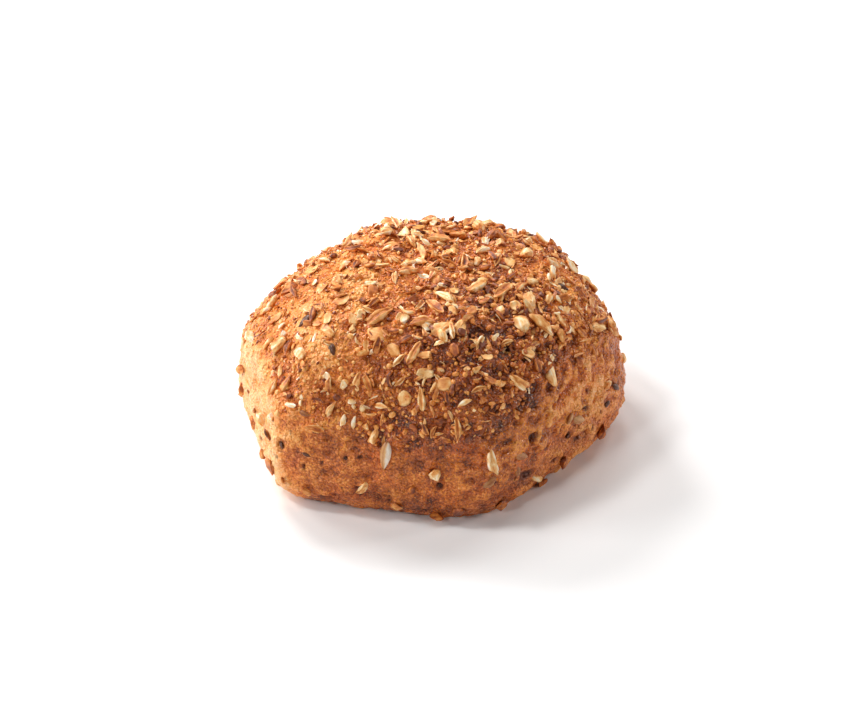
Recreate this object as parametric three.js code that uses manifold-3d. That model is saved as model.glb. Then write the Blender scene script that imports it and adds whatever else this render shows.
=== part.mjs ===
// A six-sided multigrain bread roll, one solid: the crust with its cracked grain, seeds and flakes baked on.
// Six cut sides stand on a flat underside and meet a domed top along a ridge. Most of the topping lies on the
// dome, some on the sides, and the largest grains keep the places that they have on the real roll.
// Millimetres and degrees. The origin is the middle of the underside, +Z is up, and +X points at a corner.

import * as THREE from "three";
import { mergeVertices } from "three/addons/utils/BufferGeometryUtils.js";
import Module from "manifold-3d";

// Form of the roll
const SIDE_REACH = [47.5, 41.7, 45.2, 47.8, 43.8, 41.1]; // to each cut side, the first at 30 degrees
const CORNER_POWER = 9.5; // how sharply two sides meet
const CRISP_CORNER = 240; // azimuth of the one corner that is cut more sharply
const CRISP_POWER = 16; // how much more sharply
const CRISP_BLEND = 30; // how fast that fades away from the corner
const CROWN_HEIGHT = 49.7;
const CROWN_ROUND = 1.06; // reach of the round crown, as a share of the sides' mean reach
const ROUND_FADE = 0.61; // how soon the round crown takes on the six corners
const RIDGE_HEIGHTS = [25, 22.5, 22, 22, 22, 22, 23.5, 33, 26, 21.5, 26, 32]; // from +X on, each 30 degrees
const RIDGE_BLEND = 14; // how fast one ridge height gives way to the next
const DOME_POWER = 3.9; // flatness of the crown
const EDGE_SOFTNESS = 1.12; // 1 is a crease at the ridge, 2 is fully round
const EDGE_SWING = 0.17; // softer at +X, crisper at -X
const SIDE_BULGE = 0.039; // share of the reach
const FOOT_TUCK = 0.117; // share of the reach that the foot draws in
const FOOT_POWER = 9;
const SUNK_FOOT = 1; // depth that is cut away to make the flat underside

// Gentle lumps of the crust
const HEART_HEIGHT = 20; // lumps push the crust away from this point on the axis
const LUMPS = [
  { swell: 0.55, across: 17, phase: 0.7 },
  { swell: 0.35, across: 9.5, phase: 2.1 },
];

// Facets
const BODY_DETAIL = 10; // each of the 20 faces of the ball has (BODY_DETAIL + 1) squared triangles
const RIDGE_POLAR = 98; // degrees from the pole of the ball to the ridge, and to the foot
const FOOT_POLAR = 136;
const CUTTER_SIDE = 200;

// Grains: how much of the thickness is sunk in the crust, and the proportions of a grain 1 long
const KINDS = {
  kernel: { wide: 0.36, thick: 0.32, sunk: 0.32 },
  chunk: { wide: 0.72, thick: 0.5, sunk: 0.36 },
  flake: { wide: 0.75, thick: 0.2, sunk: 0.5 },
  seed: { wide: 0.5, thick: 0.26, sunk: 0.45 },
};
const CHUNK_UNEVEN = 0.25; // how far a corner of a chunk is drawn in or out
const SEED_TAPER = 0.7; // how much fuller one end of a seed is
const FLAKE_SADDLE = 0.9; // how far a flake curls

// The grains that stand out on the real roll: kind, azimuth, station, heading, length.
// Station is 0 at the crown, 1 at the ridge and 2 at the foot. Heading 0 points down the slope.
const LANDMARKS = [
  // left of the crown
  ["flake", 189, 0.63, 0, 4.5],
  ["flake", 178, 0.6, 10, 3.5],
  ["flake", 209, 0.62, 30, 5],
  ["flake", 210, 0.54, 60, 4],
  ["flake", 227, 0.57, 0, 5],
  ["flake", 231, 0.67, 40, 4],
  ["flake", 206, 0.86, 0, 4],
  ["seed", 221, 0.76, 0, 4.6],
  ["seed", 241, 0.77, 45, 3.4],
  ["chunk", 236, 0.71, 90, 4],
  ["chunk", 240, 0.62, 20, 3],
  ["kernel", 214, 0.93, 0, 4.5],
  ["kernel", 232, 0.94, 0, 5],
  ["kernel", 228, 0.98, 0, 5],
  // crown
  ["kernel", 234, 0.19, -15, 7],
  ["kernel", 191, 0.12, 20, 5.5],
  ["kernel", 203, 0.3, 0, 5.5],
  ["kernel", 95, 0.22, 90, 7],
  ["flake", 108, 0.3, 0, 4.5],
  ["flake", 114, 0.4, 30, 4],
  ["flake", 359, 0.28, 0, 2.8],
  ["flake", 342, 0.3, 0, 2.8],
  ["flake", 10, 0.4, 80, 5],
  ["flake", 36, 0.62, 0, 4.2],
  // middle of the front
  ["kernel", 251, 0.57, -25, 8],
  ["kernel", 274, 0.57, 105, 6.8],
  ["kernel", 283, 0.47, 40, 7],
  ["kernel", 290, 0.38, 42, 6.3],
  ["kernel", 320, 0.26, -40, 4.8],
  ["kernel", 320, 0.39, -83, 7.3],
  ["kernel", 322, 0.49, 38, 3.8],
  ["kernel", 305, 0.74, 0, 3.5],
  ["kernel", 273, 0.74, -24, 6.8],
  ["kernel", 277, 0.64, 20, 3.5],
  ["chunk", 293, 0.48, 0, 3.6],
  ["chunk", 285, 0.6, 110, 4.3],
  ["chunk", 265, 0.57, 0, 3],
  ["flake", 294, 0.62, -13, 5],
  ["flake", 255, 0.67, 90, 6.5],
  ["flake", 264, 0.73, 60, 4.2],
  // right of the crown
  ["kernel", 332, 0.51, 90, 7.5],
  ["kernel", 350, 0.7, 95, 4.5],
  ["kernel", 333, 0.79, 15, 8],
  ["kernel", 325, 0.85, 90, 4.2],
  ["kernel", 313, 0.77, 90, 3.8],
  ["kernel", 321, 0.92, 0, 4.5],
  ["kernel", 344, 0.82, -5, 4.4],
  ["kernel", 350, 0.9, 0, 4.5],
  ["kernel", 352, 0.97, 0, 5],
  ["kernel", 357, 0.43, 90, 3.8],
  ["chunk", 324, 0.74, -20, 4.5],
  ["chunk", 327, 0.98, 0, 3.8],
  ["chunk", 356, 0.57, 30, 3],
  ["chunk", 9, 0.96, 0, 4],
  ["seed", 2, 0.7, 0, 3.6],
  // along the front ridge
  ["kernel", 245, 1, 90, 5.8],
  ["kernel", 253, 0.86, -5, 5],
  ["kernel", 257, 0.86, 38, 5.5],
  ["kernel", 255, 0.97, 0, 3.8],
  ["kernel", 264, 0.95, 0, 3.4],
  ["kernel", 269, 0.84, -40, 3.6],
  ["kernel", 277, 0.89, 8, 6],
  ["kernel", 281, 0.97, -25, 3.4],
  ["kernel", 289, 0.97, 0, 6.2],
  ["kernel", 291, 0.91, 115, 4],
  ["kernel", 296, 0.88, 105, 4.2],
  ["kernel", 312, 0.93, 40, 7.5],
  ["flake", 278, 0.81, 90, 5],
  ["flake", 285, 0.85, 90, 5],
  ["flake", 271, 0.89, 0, 3.8],
  ["chunk", 237, 0.97, 90, 2.8],
  ["chunk", 249, 0.88, 0, 3],
  ["chunk", 252, 0.97, 0, 3.8],
  ["chunk", 262, 0.99, 0, 3.2],
  ["seed", 241, 0.98, 90, 3.6],
  // cut sides
  ["seed", 266, 1.12, -5, 8.2],
  ["kernel", 298, 1.23, 10, 7],
  ["kernel", 259, 1.56, 140, 5.2],
  ["seed", 243, 1.3, 60, 3.2],
  ["seed", 315, 1.29, 0, 4.6],
  ["seed", 310, 1.38, 60, 4.6],
  ["seed", 308, 1.51, 0, 3.2],
  ["seed", 340, 1.44, 60, 5],
  ["seed", 1, 1.33, 40, 3.6],
  // foot
  ["chunk", 197, 1.52, 0, 3.2],
  ["chunk", 213, 1.59, 0, 3.4],
  ["chunk", 225, 1.62, 0, 3.2],
  ["chunk", 230, 1.66, 0, 4.2],
  ["chunk", 247, 1.8, 0, 3.4],
  ["chunk", 269, 1.78, 90, 3],
  ["chunk", 282, 1.85, 90, 3.4],
  ["chunk", 289, 1.79, 0, 4],
  ["chunk", 303, 1.84, 0, 3.6],
  ["chunk", 325, 1.91, 60, 3.2],
  ["chunk", 334, 1.8, 0, 3.4],
  ["chunk", 355, 1.75, 0, 3.8],
];

// The rest of the large grains follow a spiral of even steps: kind, shortest and longest of each
const DOME_GRAINS = [
  ["kernel", 5.5, 7.5],
  ["chunk", 2.6, 4.4],
  ["flake", 3.4, 5.2],
  ["chunk", 3, 5],
];
const SIDE_GRAINS = [
  ["chunk", 1.8, 2.8],
  ["seed", 4, 4.8],
  ["chunk", 2.2, 3.2],
];
const DOME_SITES = 106;
const SIDE_SITES = 44;
const SIDE_STATIONS = [1.12, 1.86]; // the highest and the lowest grain of the cut sides
const GOLDEN_ANGLE = 137.508;
const STRAY = 7; // degrees that a grain may stray from its place on the spiral
const NEAREST = 4.2; // millimetres between the middles of two grains

const radians = THREE.MathUtils.degToRad;

/** A repeatable draw from 0 to 1 for a numbered grain. */
function draw(index, salt) {
  const wave = Math.sin(index * 12.9898 + salt * 78.233) * 43758.5453;
  return wave - Math.floor(wave);
}

/** Distance from the axis to the rounded six-sided outline. */
function outlineReach(azimuth) {
  const crisp = Math.exp(CRISP_BLEND * (Math.cos(radians(azimuth - CRISP_CORNER)) - 1));
  const power = CORNER_POWER + CRISP_POWER * crisp;
  let sum = 0;
  SIDE_REACH.forEach((reach, side) => {
    const facing = Math.cos(radians(azimuth - 30 - 60 * side));
    sum += Math.max(0, facing / reach) ** power;
  });
  return sum ** (-1 / power);
}

/** Height of the ridge, which is higher over some cut sides than over others. */
function ridgeHeight(azimuth) {
  let [sum, total] = [0, 0];
  RIDGE_HEIGHTS.forEach((height, place) => {
    const weight = Math.exp(RIDGE_BLEND * (Math.cos(radians(azimuth - 30 * place)) - 1));
    sum += weight * height;
    total += weight;
  });
  return sum / total;
}

/** Height and distance from the axis of the smooth roll at an azimuth and a station. */
function profile(azimuth, station) {
  const outline = outlineReach(azimuth);
  const swing = Math.cos(radians(azimuth));
  const ridge = ridgeHeight(azimuth);
  if (station <= 1) {
    const round = (SIDE_REACH.reduce((a, b) => a + b) / SIDE_REACH.length) * CROWN_ROUND;
    const reach = THREE.MathUtils.lerp(round, outline, station ** ROUND_FADE);
    const fall = (1 - station ** DOME_POWER) ** (1 / (EDGE_SOFTNESS + EDGE_SWING * swing));
    return { reach: station * reach, height: ridge + (CROWN_HEIGHT - ridge) * fall };
  }
  const down = Math.min(station - 1, 1);
  const wall = 1 - FOOT_TUCK * down ** FOOT_POWER + SIDE_BULGE * Math.sin(Math.PI * down);
  const under = Math.max(0, 3 - Math.max(station, 2));
  return { reach: outline * wall * under, height: ridge - (ridge + SUNK_FOOT) * down };
}

/** How far the crust swells at a point, from crossing waves in three directions. */
function swell(point) {
  return LUMPS.reduce((sum, { swell: height, across, phase }) => {
    const turn = (2 * Math.PI) / across;
    const waves =
      Math.sin(turn * (point.x + 0.4 * point.y) + phase) +
      Math.sin(turn * (0.9 * point.y - 0.5 * point.z) + 2 * phase) +
      Math.sin(turn * (0.8 * point.z - 0.6 * point.x) + 3 * phase);
    return sum + (height * waves) / 3;
  }, 0);
}

/** A point of the lumpy crust. */
function crustPoint(azimuth, station) {
  const { reach, height } = profile(azimuth, station);
  const point = new THREE.Vector3(
    reach * Math.cos(radians(azimuth)),
    reach * Math.sin(radians(azimuth)),
    height,
  );
  const outwards = point.clone().sub(new THREE.Vector3(0, 0, HEART_HEIGHT)).normalize();
  const held = THREE.MathUtils.clamp(2 - station, 0, 1); // no lumps under the roll
  return point.addScaledVector(outwards, swell(point) * Math.min(1, 3 * held));
}

/** The crust's own axes at a place: down the slope, sideways and outwards. */
function crustAxes(azimuth, station) {
  const step = 0.01;
  const here = crustPoint(azimuth, station);
  const down = crustPoint(azimuth, station + step).sub(here).normalize();
  const side = crustPoint(azimuth + 100 * step, station).sub(here).normalize();
  const out = new THREE.Vector3().crossVectors(down, side).normalize();
  return { here, down, side: new THREE.Vector3().crossVectors(out, down), out };
}

/** The crust as a ball of facets drawn onto the form. */
function bodyGeometry() {
  const ball = new THREE.IcosahedronGeometry(1, BODY_DETAIL);
  const spot = new THREE.Vector3();
  const positions = ball.attributes.position;
  for (let i = 0; i < positions.count; i++) {
    spot.fromBufferAttribute(positions, i).normalize();
    const azimuth = THREE.MathUtils.radToDeg(Math.atan2(spot.y, spot.x));
    const polar = THREE.MathUtils.radToDeg(Math.acos(spot.z));
    let station = polar / RIDGE_POLAR;
    if (polar > RIDGE_POLAR) station = 1 + (polar - RIDGE_POLAR) / (FOOT_POLAR - RIDGE_POLAR);
    if (polar > FOOT_POLAR) station = 2 + (polar - FOOT_POLAR) / (180 - FOOT_POLAR);
    positions.setXYZ(i, ...crustPoint(azimuth, station));
  }
  return ball;
}

/** One grain about the origin, its length along X and its thickness along Z. */
function grainGeometry(kind, length, index) {
  const { wide, thick } = KINDS[kind];
  let shape;
  if (kind === "kernel" || kind === "seed") shape = new THREE.SphereGeometry(0.5, 6, 3).rotateZ(Math.PI / 2);
  if (kind === "flake") shape = new THREE.CylinderGeometry(0.5, 0.42, 1, 7).rotateX(Math.PI / 2);
  if (kind === "chunk") shape = new THREE.IcosahedronGeometry(0.56, 0);
  const positions = shape.attributes.position;
  for (let i = 0; i < positions.count; i++) {
    let [x, y, z] = [positions.getX(i), positions.getY(i), positions.getZ(i)];
    if (kind === "chunk") {
      const corner = Math.round(50 * (x + 2 * y + 4 * z)); // the same for every copy of a corner
      x *= 1 + CHUNK_UNEVEN * (2 * draw(corner, index) - 1);
      y *= 1 + CHUNK_UNEVEN * (2 * draw(corner, index + 0.5) - 1);
    }
    if (kind === "seed") y *= 1 - SEED_TAPER * x;
    if (kind === "flake") z += FLAKE_SADDLE * (x * x - y * y);
    positions.setXYZ(i, x * length, y * length * wide, z * length * thick);
  }
  return shape;
}

/** The grain moved onto the crust, turned to its heading and sunk in. */
function placedGrain({ kind, azimuth, station, heading, length }, index) {
  const { here, down, side, out } = crustAxes(azimuth, station);
  const along = down
    .clone()
    .multiplyScalar(Math.cos(radians(heading)))
    .addScaledVector(side, Math.sin(radians(heading)));
  const across = new THREE.Vector3().crossVectors(out, along);
  const { thick, sunk } = KINDS[kind];
  const middle = here.clone().addScaledVector(out, (0.5 - sunk) * thick * length);
  const place = new THREE.Matrix4().makeBasis(along, across, out).setPosition(middle);
  return grainGeometry(kind, length, index).applyMatrix4(place);
}

/** Every large grain: first the landmarks, then those of the spiral that fall clear of the ones before. */
function grainSites() {
  const sites = LANDMARKS.map(([kind, azimuth, station, heading, length]) => {
    return { kind, azimuth, station, heading, length };
  });
  const taken = sites.map(({ azimuth, station }) => crustPoint(azimuth, station));
  const tryOne = (index, station, kinds) => {
    const azimuth = index * GOLDEN_ANGLE + STRAY * (2 * draw(index, 1) - 1);
    const spot = crustPoint(azimuth, station);
    if (taken.some((other) => other.distanceTo(spot) < NEAREST)) return;
    taken.push(spot);
    const [kind, shortest, longest] = kinds[Math.floor(draw(index, 2) * kinds.length)];
    const length = THREE.MathUtils.lerp(shortest, longest, draw(index, 4));
    sites.push({ kind, azimuth, station, heading: 360 * draw(index, 3), length });
  };
  for (let i = 1; i <= DOME_SITES; i++) {
    tryOne(i, Math.sqrt((i - draw(i, 5)) / DOME_SITES), DOME_GRAINS);
  }
  for (let i = 1; i <= SIDE_SITES; i++) {
    tryOne(DOME_SITES + i, THREE.MathUtils.lerp(...SIDE_STATIONS, draw(i, 6)), SIDE_GRAINS);
  }
  return sites;
}

const wasm = await Module();
wasm.setup();

/** A closed three.js geometry as a solid that can be joined and cut. */
function solidOf(geometry) {
  const bare = geometry.clone();
  bare.deleteAttribute("normal");
  bare.deleteAttribute("uv");
  const merged = mergeVertices(bare, 1e-4);
  const vertProperties = merged.attributes.position.array;
  const triVerts = new Uint32Array(merged.index.array);
  return new wasm.Manifold(new wasm.Mesh({ numProp: 3, vertProperties, triVerts }));
}

/** The largest of a solid's bodies, so that no loose scrap is kept. */
function largestBody(solid) {
  return solid.decompose().reduce((a, b) => (b.volume() > a.volume() ? b : a));
}

/** A solid as a geometry centred over the origin, with its underside at height 0. */
function geometryOf(solid) {
  const { numProp, vertProperties, triVerts } = solid.getMesh();
  const positions = new Float32Array((vertProperties.length / numProp) * 3);
  for (let i = 0; i < positions.length / 3; i++) {
    positions.set(vertProperties.subarray(i * numProp, i * numProp + 3), i * 3);
  }
  const geometry = new THREE.BufferGeometry();
  geometry.setAttribute("position", new THREE.BufferAttribute(positions, 3));
  geometry.setIndex(new THREE.BufferAttribute(triVerts, 1));
  geometry.computeBoundingBox();
  const centre = geometry.boundingBox.getCenter(new THREE.Vector3());
  geometry.translate(-centre.x, -centre.y, 0);
  geometry.computeVertexNormals();
  return geometry;
}

const grains = grainSites().map((site, index) => solidOf(placedGrain(site, index)));
const baked = wasm.Manifold.union([solidOf(bodyGeometry()), ...grains]);
const cutter = new THREE.BoxGeometry(CUTTER_SIDE, CUTTER_SIDE, CUTTER_SIDE);
cutter.translate(0, 0, -CUTTER_SIDE / 2);
const roll = largestBody(baked.subtract(solidOf(cutter)));

const crust = new THREE.MeshStandardMaterial({ color: 0xb07040, roughness: 0.7, metalness: 0 });
const rollMesh = new THREE.Mesh(geometryOf(roll), crust);
rollMesh.name = "seeded_roll";

const bread = new THREE.Group();
bread.add(rollMesh);

export default bread;
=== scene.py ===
"""A six-sided multigrain bread roll: its baked crust and the grain, seeds and flakes on it.

The crust and each kind of topping is one piece. They stand together for the solid roll of the frame, and
they follow the same form: an azimuth in degrees round the crown's axis, and a station that is 0 at the
crown, 1 at the ridge, 2 at the foot and 3 in the middle of the underside. Sizes are in millimetres until
a mesh is made, which is in metres.
"""

import logging
import math
from dataclasses import dataclass, field
from enum import Enum

import bmesh
import bpy
import numpy as np
from mathutils import Matrix, Vector


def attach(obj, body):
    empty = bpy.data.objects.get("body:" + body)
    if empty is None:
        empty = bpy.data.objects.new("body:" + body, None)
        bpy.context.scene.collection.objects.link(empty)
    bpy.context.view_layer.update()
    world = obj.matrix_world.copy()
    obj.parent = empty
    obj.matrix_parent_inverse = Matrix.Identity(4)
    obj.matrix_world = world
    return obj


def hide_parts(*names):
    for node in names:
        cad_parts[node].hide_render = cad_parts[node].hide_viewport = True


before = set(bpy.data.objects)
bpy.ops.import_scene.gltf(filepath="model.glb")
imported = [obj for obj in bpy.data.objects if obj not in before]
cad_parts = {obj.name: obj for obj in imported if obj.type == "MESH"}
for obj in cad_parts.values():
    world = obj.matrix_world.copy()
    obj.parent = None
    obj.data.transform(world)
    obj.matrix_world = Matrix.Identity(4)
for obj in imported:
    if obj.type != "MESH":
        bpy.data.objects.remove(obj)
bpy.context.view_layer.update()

MM = 0.001
ROLL = "seeded_roll"
PHOTO_SIZE = (860, 720)
log = logging.getLogger("roll")


def draw(index: np.ndarray | float, salt: float) -> np.ndarray:
    """A repeatable draw from 0 to 1 for a numbered grain, the same as in the solid.

    Args:
        index: The grain's number, or many of them.
        salt: Tells apart the draws of one grain.

    Returns:
        The draws, from 0 to 1.
    """
    wave = np.sin(np.asarray(index, float) * 12.9898 + salt * 78.233) * 43758.5453
    return wave - np.floor(wave)


def mix(low: float | np.ndarray, high: float | np.ndarray, share: np.ndarray) -> np.ndarray:
    """The value at a share of the way from low to high."""
    return low + (high - low) * share


def smooth_step(low: float, high: float, value: np.ndarray) -> np.ndarray:
    """A smooth climb from 0 at low to 1 at high."""
    share = np.clip((value - low) / (high - low), 0, 1)
    return share * share * (3 - 2 * share)


def lattice_draw(cells: np.ndarray, seed: int) -> np.ndarray:
    """A draw from 0 to 1 for each cell of a cubic lattice.

    Args:
        cells: Whole-numbered cell corners, in rows of three.
        seed: Tells apart the lattices.

    Returns:
        One draw for each row.
    """
    mixed = cells.astype(np.int64) @ np.array([73856093, 19349663, 83492791]) + seed * 2654435761
    mixed = (mixed ^ (mixed >> 13)) * 1274126177 & 0x7FFFFFFF
    mixed = (mixed ^ (mixed >> 15)) * 668265263 & 0x7FFFFFFF
    return (mixed ^ (mixed >> 14)) / 0x7FFFFFFF


def noise(points: np.ndarray, across: float, seed: int) -> np.ndarray:
    """Smooth noise from -1 to 1.

    Args:
        points: Places, in rows of three.
        across: Size of its lumps, in the unit of the points.
        seed: Tells apart the noises.

    Returns:
        One value for each row.
    """
    scaled = points / across
    cell = np.floor(scaled).astype(int)
    part = scaled - cell
    part = part * part * (3 - 2 * part)
    total = np.zeros(len(points))
    for corner in np.ndindex(2, 2, 2):
        weight = np.prod(np.where(np.array(corner) == 1, part, 1 - part), axis=-1)
        total += weight * lattice_draw(cell + corner, seed)
    return 2 * total - 1


def nearest_site(points: np.ndarray, across: float, seed: int) -> tuple[np.ndarray, np.ndarray]:
    """Distance to the nearest of many scattered sites, one in each cell of a lattice.

    Args:
        points: Places, in rows of three.
        across: Side of a cell, in the unit of the points.
        seed: Tells apart the scatters.

    Returns:
        The distance to the nearest site and that site's own draw from 0 to 1.
    """
    cell = np.floor(points / across).astype(int)
    nearest = np.full(len(points), np.inf)
    own = np.zeros(len(points))
    for step in np.ndindex(3, 3, 3):
        here = cell + np.array(step) - 1
        site = here + np.stack([lattice_draw(here, seed + k) for k in (1, 2, 3)], -1)
        gap = np.linalg.norm(points - site * across, axis=-1)
        closer = gap < nearest
        nearest = np.where(closer, gap, nearest)
        own = np.where(closer, lattice_draw(here, seed + 4), own)
    return nearest, own


@dataclass(frozen=True)
class RollForm:
    """The form of the roll: six cut sides, a flat underside and a domed top that ends at a ridge."""

    side_reach: tuple[float, ...] = (47.5, 41.7, 45.2, 47.8, 43.8, 41.1)
    corner_power: float = 9.5
    crisp_corner: float = 240
    crisp_power: float = 16
    crisp_blend: float = 30
    crown_height: float = 49.7
    crown_round: float = 1.06
    round_fade: float = 0.61
    ridge_heights: tuple[float, ...] = (25, 22.5, 22, 22, 22, 22, 23.5, 33, 26, 21.5, 26, 32)
    ridge_blend: float = 14
    dome_power: float = 3.9
    edge_softness: float = 1.12
    edge_swing: float = 0.17
    side_bulge: float = 0.039
    foot_tuck: float = 0.117
    foot_power: float = 9
    sunk_foot: float = 1
    heart_height: float = 20
    lumps: tuple[tuple[float, float, float], ...] = ((0.55, 17, 0.7), (0.35, 9.5, 2.1))
    axis_at: tuple[float, float] = (0.95, 1.34)

    def outline_reach(self, azimuth: np.ndarray) -> np.ndarray:
        """Distance from the axis to the rounded six-sided outline."""
        facing = np.cos(np.radians(azimuth[..., None] - 30 - 60 * np.arange(6)))
        crisp = np.exp(self.crisp_blend * (np.cos(np.radians(azimuth - self.crisp_corner)) - 1))
        power = self.corner_power + self.crisp_power * crisp
        sides = np.maximum(0, facing / np.array(self.side_reach)) ** power[..., None]
        return sides.sum(-1) ** (-1 / power)

    def ridge_height(self, azimuth: np.ndarray) -> np.ndarray:
        """Height of the ridge, which is higher over some cut sides than over others."""
        facing = np.cos(np.radians(azimuth[..., None] - 30 * np.arange(12)))
        weights = np.exp(self.ridge_blend * (facing - 1))
        return weights @ np.array(self.ridge_heights) / weights.sum(-1)

    def profile(self, azimuth: np.ndarray, station: np.ndarray) -> tuple[np.ndarray, np.ndarray]:
        """Distance from the axis and height of the smooth roll.

        Args:
            azimuth: Degrees round the axis.
            station: From 0 at the crown to 3 in the middle of the underside.

        Returns:
            The distances and the heights.
        """
        outline = self.outline_reach(azimuth)
        swing = np.cos(np.radians(azimuth))
        ridge = self.ridge_height(azimuth)
        dome = np.clip(station, 0, 1)
        crown_reach = np.mean(self.side_reach) * self.crown_round
        dome_reach = dome * mix(crown_reach, outline, dome**self.round_fade)
        fall = (1 - dome**self.dome_power) ** (1 / (self.edge_softness + self.edge_swing * swing))
        dome_height = ridge + (self.crown_height - ridge) * fall
        down = np.clip(station - 1, 0, 1)
        wall = 1 - self.foot_tuck * down**self.foot_power + self.side_bulge * np.sin(np.pi * down)
        under = np.clip(3 - np.maximum(station, 2), 0, 1)
        wall_height = ridge - (ridge + self.sunk_foot) * down
        on_dome = station <= 1
        reach = np.where(on_dome, dome_reach, outline * wall * under)
        return reach, np.where(on_dome, dome_height, wall_height)

    def swell(self, points: np.ndarray) -> np.ndarray:
        """How far the crust swells, from crossing waves in three directions."""
        x, y, z = points.T
        total = np.zeros(len(points))
        for height, across, phase in self.lumps:
            turn = 2 * np.pi / across
            waves = np.sin(turn * (x + 0.4 * y) + phase)
            waves += np.sin(turn * (0.9 * y - 0.5 * z) + 2 * phase)
            waves += np.sin(turn * (0.8 * z - 0.6 * x) + 3 * phase)
            total += height * waves / 3
        return total

    def crust(self, azimuth: np.ndarray, station: np.ndarray) -> np.ndarray:
        """Points of the lumpy crust, about the crown's axis.

        Args:
            azimuth: Degrees round the axis.
            station: From 0 at the crown to 3 in the middle of the underside.

        Returns:
            The points, in rows of three.
        """
        reach, height = self.profile(azimuth, station)
        turn = np.radians(azimuth)
        points = np.stack([reach * np.cos(turn), reach * np.sin(turn), height], -1)
        outwards = points - np.array([0, 0, self.heart_height])
        outwards /= np.linalg.norm(outwards, axis=-1, keepdims=True)
        held = np.minimum(1, 3 * np.clip(2 - station, 0, 1))
        return points + outwards * (self.swell(points) * held)[:, None]

    def axes(self, azimuth: np.ndarray, station: np.ndarray) -> tuple[np.ndarray, np.ndarray]:
        """The crust's own axes at many places.

        Args:
            azimuth: Degrees round the axis.
            station: From 0 at the crown to 3 in the middle of the underside.

        Returns:
            The points, and for each a matrix with the ways down the slope, sideways and outwards in its
            columns.
        """
        step = 0.01
        here = self.crust(azimuth, station)
        down = self.crust(azimuth, station + step) - here
        side = self.crust(azimuth + 100 * step, station) - here
        down /= np.linalg.norm(down, axis=-1, keepdims=True)
        out = np.cross(down, side)
        out /= np.linalg.norm(out, axis=-1, keepdims=True)
        return here, np.stack([down, np.cross(out, down), out], -1)

    def to_frame(self, points: np.ndarray) -> np.ndarray:
        """Points about the crown's axis, in millimetres, as points of the frame, in metres."""
        return (points + np.array([*self.axis_at, 0])) * MM


@dataclass(frozen=True)
class Patch:
    """A soft-edged area of the crust with a value of its own."""

    azimuth: float
    station: float
    half_turn: float
    half_station: float
    amount: float
    soft: float = 0.5

    def share(self, azimuth: np.ndarray, station: np.ndarray) -> np.ndarray:
        """How strongly the patch shows at many places, from 0 to its amount."""
        turn = np.abs((azimuth - self.azimuth + 180) % 360 - 180) / self.half_turn
        rise = np.abs(station - self.station) / self.half_station
        far = (turn**4 + rise**4) ** 0.25
        return self.amount * (1 - smooth_step(1 - self.soft, 1 + self.soft, far))


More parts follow.
